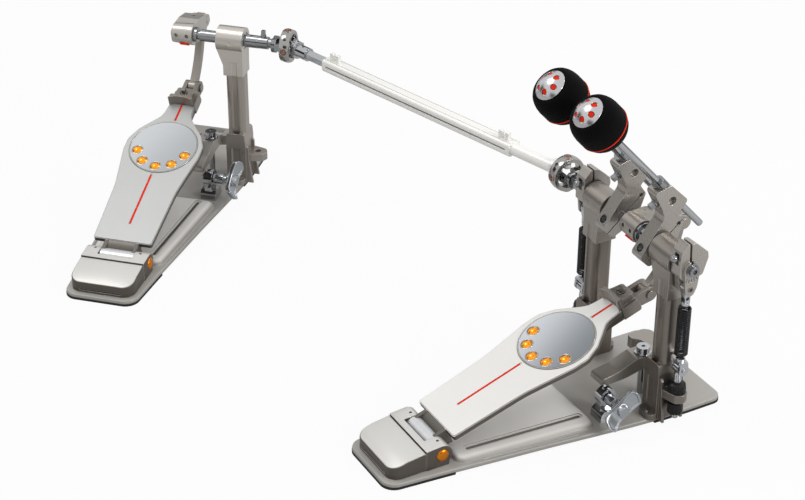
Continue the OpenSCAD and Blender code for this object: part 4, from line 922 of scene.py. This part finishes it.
# Threads on the two spring rods
thread = {"inner": 3.6, "crest": 4.3, "root": 3.96, "pitch": 1.15,
          "spans": [(60.4, 9), (14.2, 5)]}  # lowest height, number of turns
for side, x in (("right", layout["lugX"]), ("left", -layout["lugX"])):
    bm = bmesh.new()
    for start, turns in thread["spans"]:
        profile = [(thread["inner"], start)]
        for i in range(turns):
            profile += [(thread["root"], start + i * thread["pitch"]),
                        (thread["crest"], start + (i + 0.5) * thread["pitch"])]
        end = start + turns * thread["pitch"]
        profile += [(thread["root"], end), (thread["inner"], end)]
        lathe(bm, profile, steps=40, ring=True)
    addPiece(side + "_rod_thread", bm, "chrome", "main_frame",
             moveMm(x, 0, 0), smooth=30)
print("rod threads made")

# Tension springs: one wire, with a half turn from the axis to the coil at each end
spring = {"low": 92, "top": 158.6, "radius": 7.4, "wire": 0.95, "turns": 24,
          "rise": 2.6, "steps": 20}


def makeSpring(look, side):
    coil, run, rise = look["radius"] - look["wire"], 2 * look["wire"], look["rise"]
    steps, count = look["steps"], look["turns"] * look["steps"]
    half, low, high = steps // 2, look["low"] + run + rise, look["top"] - run - rise
    middle = layout["springX"]
    points = [(side * middle, 0, look["low"])]
    for i in range(count + 2 * half + 1):
        near = min(i, count + 2 * half - i) / half
        z = low + (high - low) * (i - half) / count
        if near < 1:
            z = low - rise * (1 - near) if i < half else high + rise * (1 - near)
        r = coil * math.sin(math.pi / 2 * min(near, 1))
        angle = 2 * math.pi * i / steps
        points.append((side * (middle + r * math.cos(angle)), r * math.sin(angle), z))
    points.append((side * middle, 0, look["top"]))
    wire = bpy.data.curves.new("wire", "CURVE")
    wire.dimensions, wire.bevel_depth, wire.bevel_resolution = "3D", look["wire"] * mm, 3
    wire.use_fill_caps = True
    line = wire.splines.new("POLY")
    line.points.add(len(points) - 1)
    for spot, point in zip(line.points, points):
        spot.co = (*(Vector(point) * mm), 1)
    held = bpy.data.objects.new("wire", wire)
    bpy.context.scene.collection.objects.link(held)
    graph = bpy.context.evaluated_depsgraph_get()
    bm = bmesh.new()
    bm.from_mesh(held.evaluated_get(graph).to_mesh())
    bpy.data.objects.remove(held)
    bpy.data.curves.remove(wire)
    return bm


for name, side in (("right", 1), ("left", -1)):
    addPiece(name + "_coil", makeSpring(spring, side), "coilSteel", name + "_swivel",
             replaces=[name + "_spring"])
print("springs made")

# Marks and the eye of the spring lever's outer plate; a dark disc in the eye's middle is painted
# shade for its hole
lever = {"face": 101, "marks": (-30, -15, 0, 15, 30), "markSize": (0.7, 0.92, 4.3),
         "markAt": (-0.4, -12.75), "arm": 24,
         "eye": [(1.9, -0.2), (3.3, -0.2), (3.3, 0.5), (3.0, 0.8), (2.2, 0.8), (1.9, 0.5)],
         "core": [(nearAxis, -0.2), (1.88, -0.2), (1.88, 0.15), (nearAxis, 0.15)]}
for name, side in (("main", 1), ("left", -1)):
    shaft = moveMm(0, 0, layout["shaftZ"])
    bm = bmesh.new()
    inward, height = lever["markAt"]
    spot = moveMm(side * (lever["face"] + inward), 0, height)
    for angle in lever["marks"]:
        addBox(bm, lever["markSize"], shaft @ turn(angle, "X") @ spot)
    eye = shaft @ moveMm(side * lever["face"], 0, -lever["arm"]) @ turn(side * 90, "Y")
    # A dark disc where the eye's hole is: painted shade
    lathe(bm, lever["core"], steps=32, place=eye)
    addPiece(name + "_lever_marks_and_eye_shade", bm, "darkRim", name + "_rotor", smooth=30)
    bm = bmesh.new()
    lathe(bm, lever["eye"], steps=40, ring=True, place=eye)
    addPiece(name + "_lever_eye", bm, "pinSteel", name + "_rotor")
print("lever marks made")

# Dark lines along the connecting tube's top and in its side grooves: painted shade of its creases
# and grooves
tube = {"start": 72.6, "end": 383.4, "top": 8, "lines": (-5.2, 5.2), "lineWidth": 0.5,
        "lineRise": (-0.1, 0.06), "side": 9.5, "grooveWidth": 1.9, "grooveInset": 6,
        "grooveRise": (-1.35, -0.95)}
bm = bmesh.new()
for across in tube["lines"]:
    old = set(bm.verts)
    inlayBar(bm, tube["start"], tube["end"], tube["lineWidth"], *tube["lineRise"])
    shift(bm, old, rodPlace @ moveMm(0, across, tube["top"]) @ turn(-90, "Z"))
# Dark strips in the side grooves, painted shade
for side in (1, -1):
    old = set(bm.verts)
    inlayBar(bm, tube["start"] + tube["grooveInset"], tube["end"] - tube["grooveInset"],
             tube["grooveWidth"], *tube["grooveRise"])
    # length along the rod, height out of its side
    stand = Matrix(((0, 1, 0, 0), (0, 0, side, 0), (side, 0, 0, 0), (0, 0, 0, 1)))
    shift(bm, old, rodPlace @ moveMm(0, side * tube["side"], 0) @ stand)
addPiece("tube_crease_shade", bm, "pinSteel", "rod", smooth=30)
print("tube lines made")

makeCamera(camera)
makeStudio(studio)
makeCards(studio)
makeFloor(studio["floor"])
print("studio made")
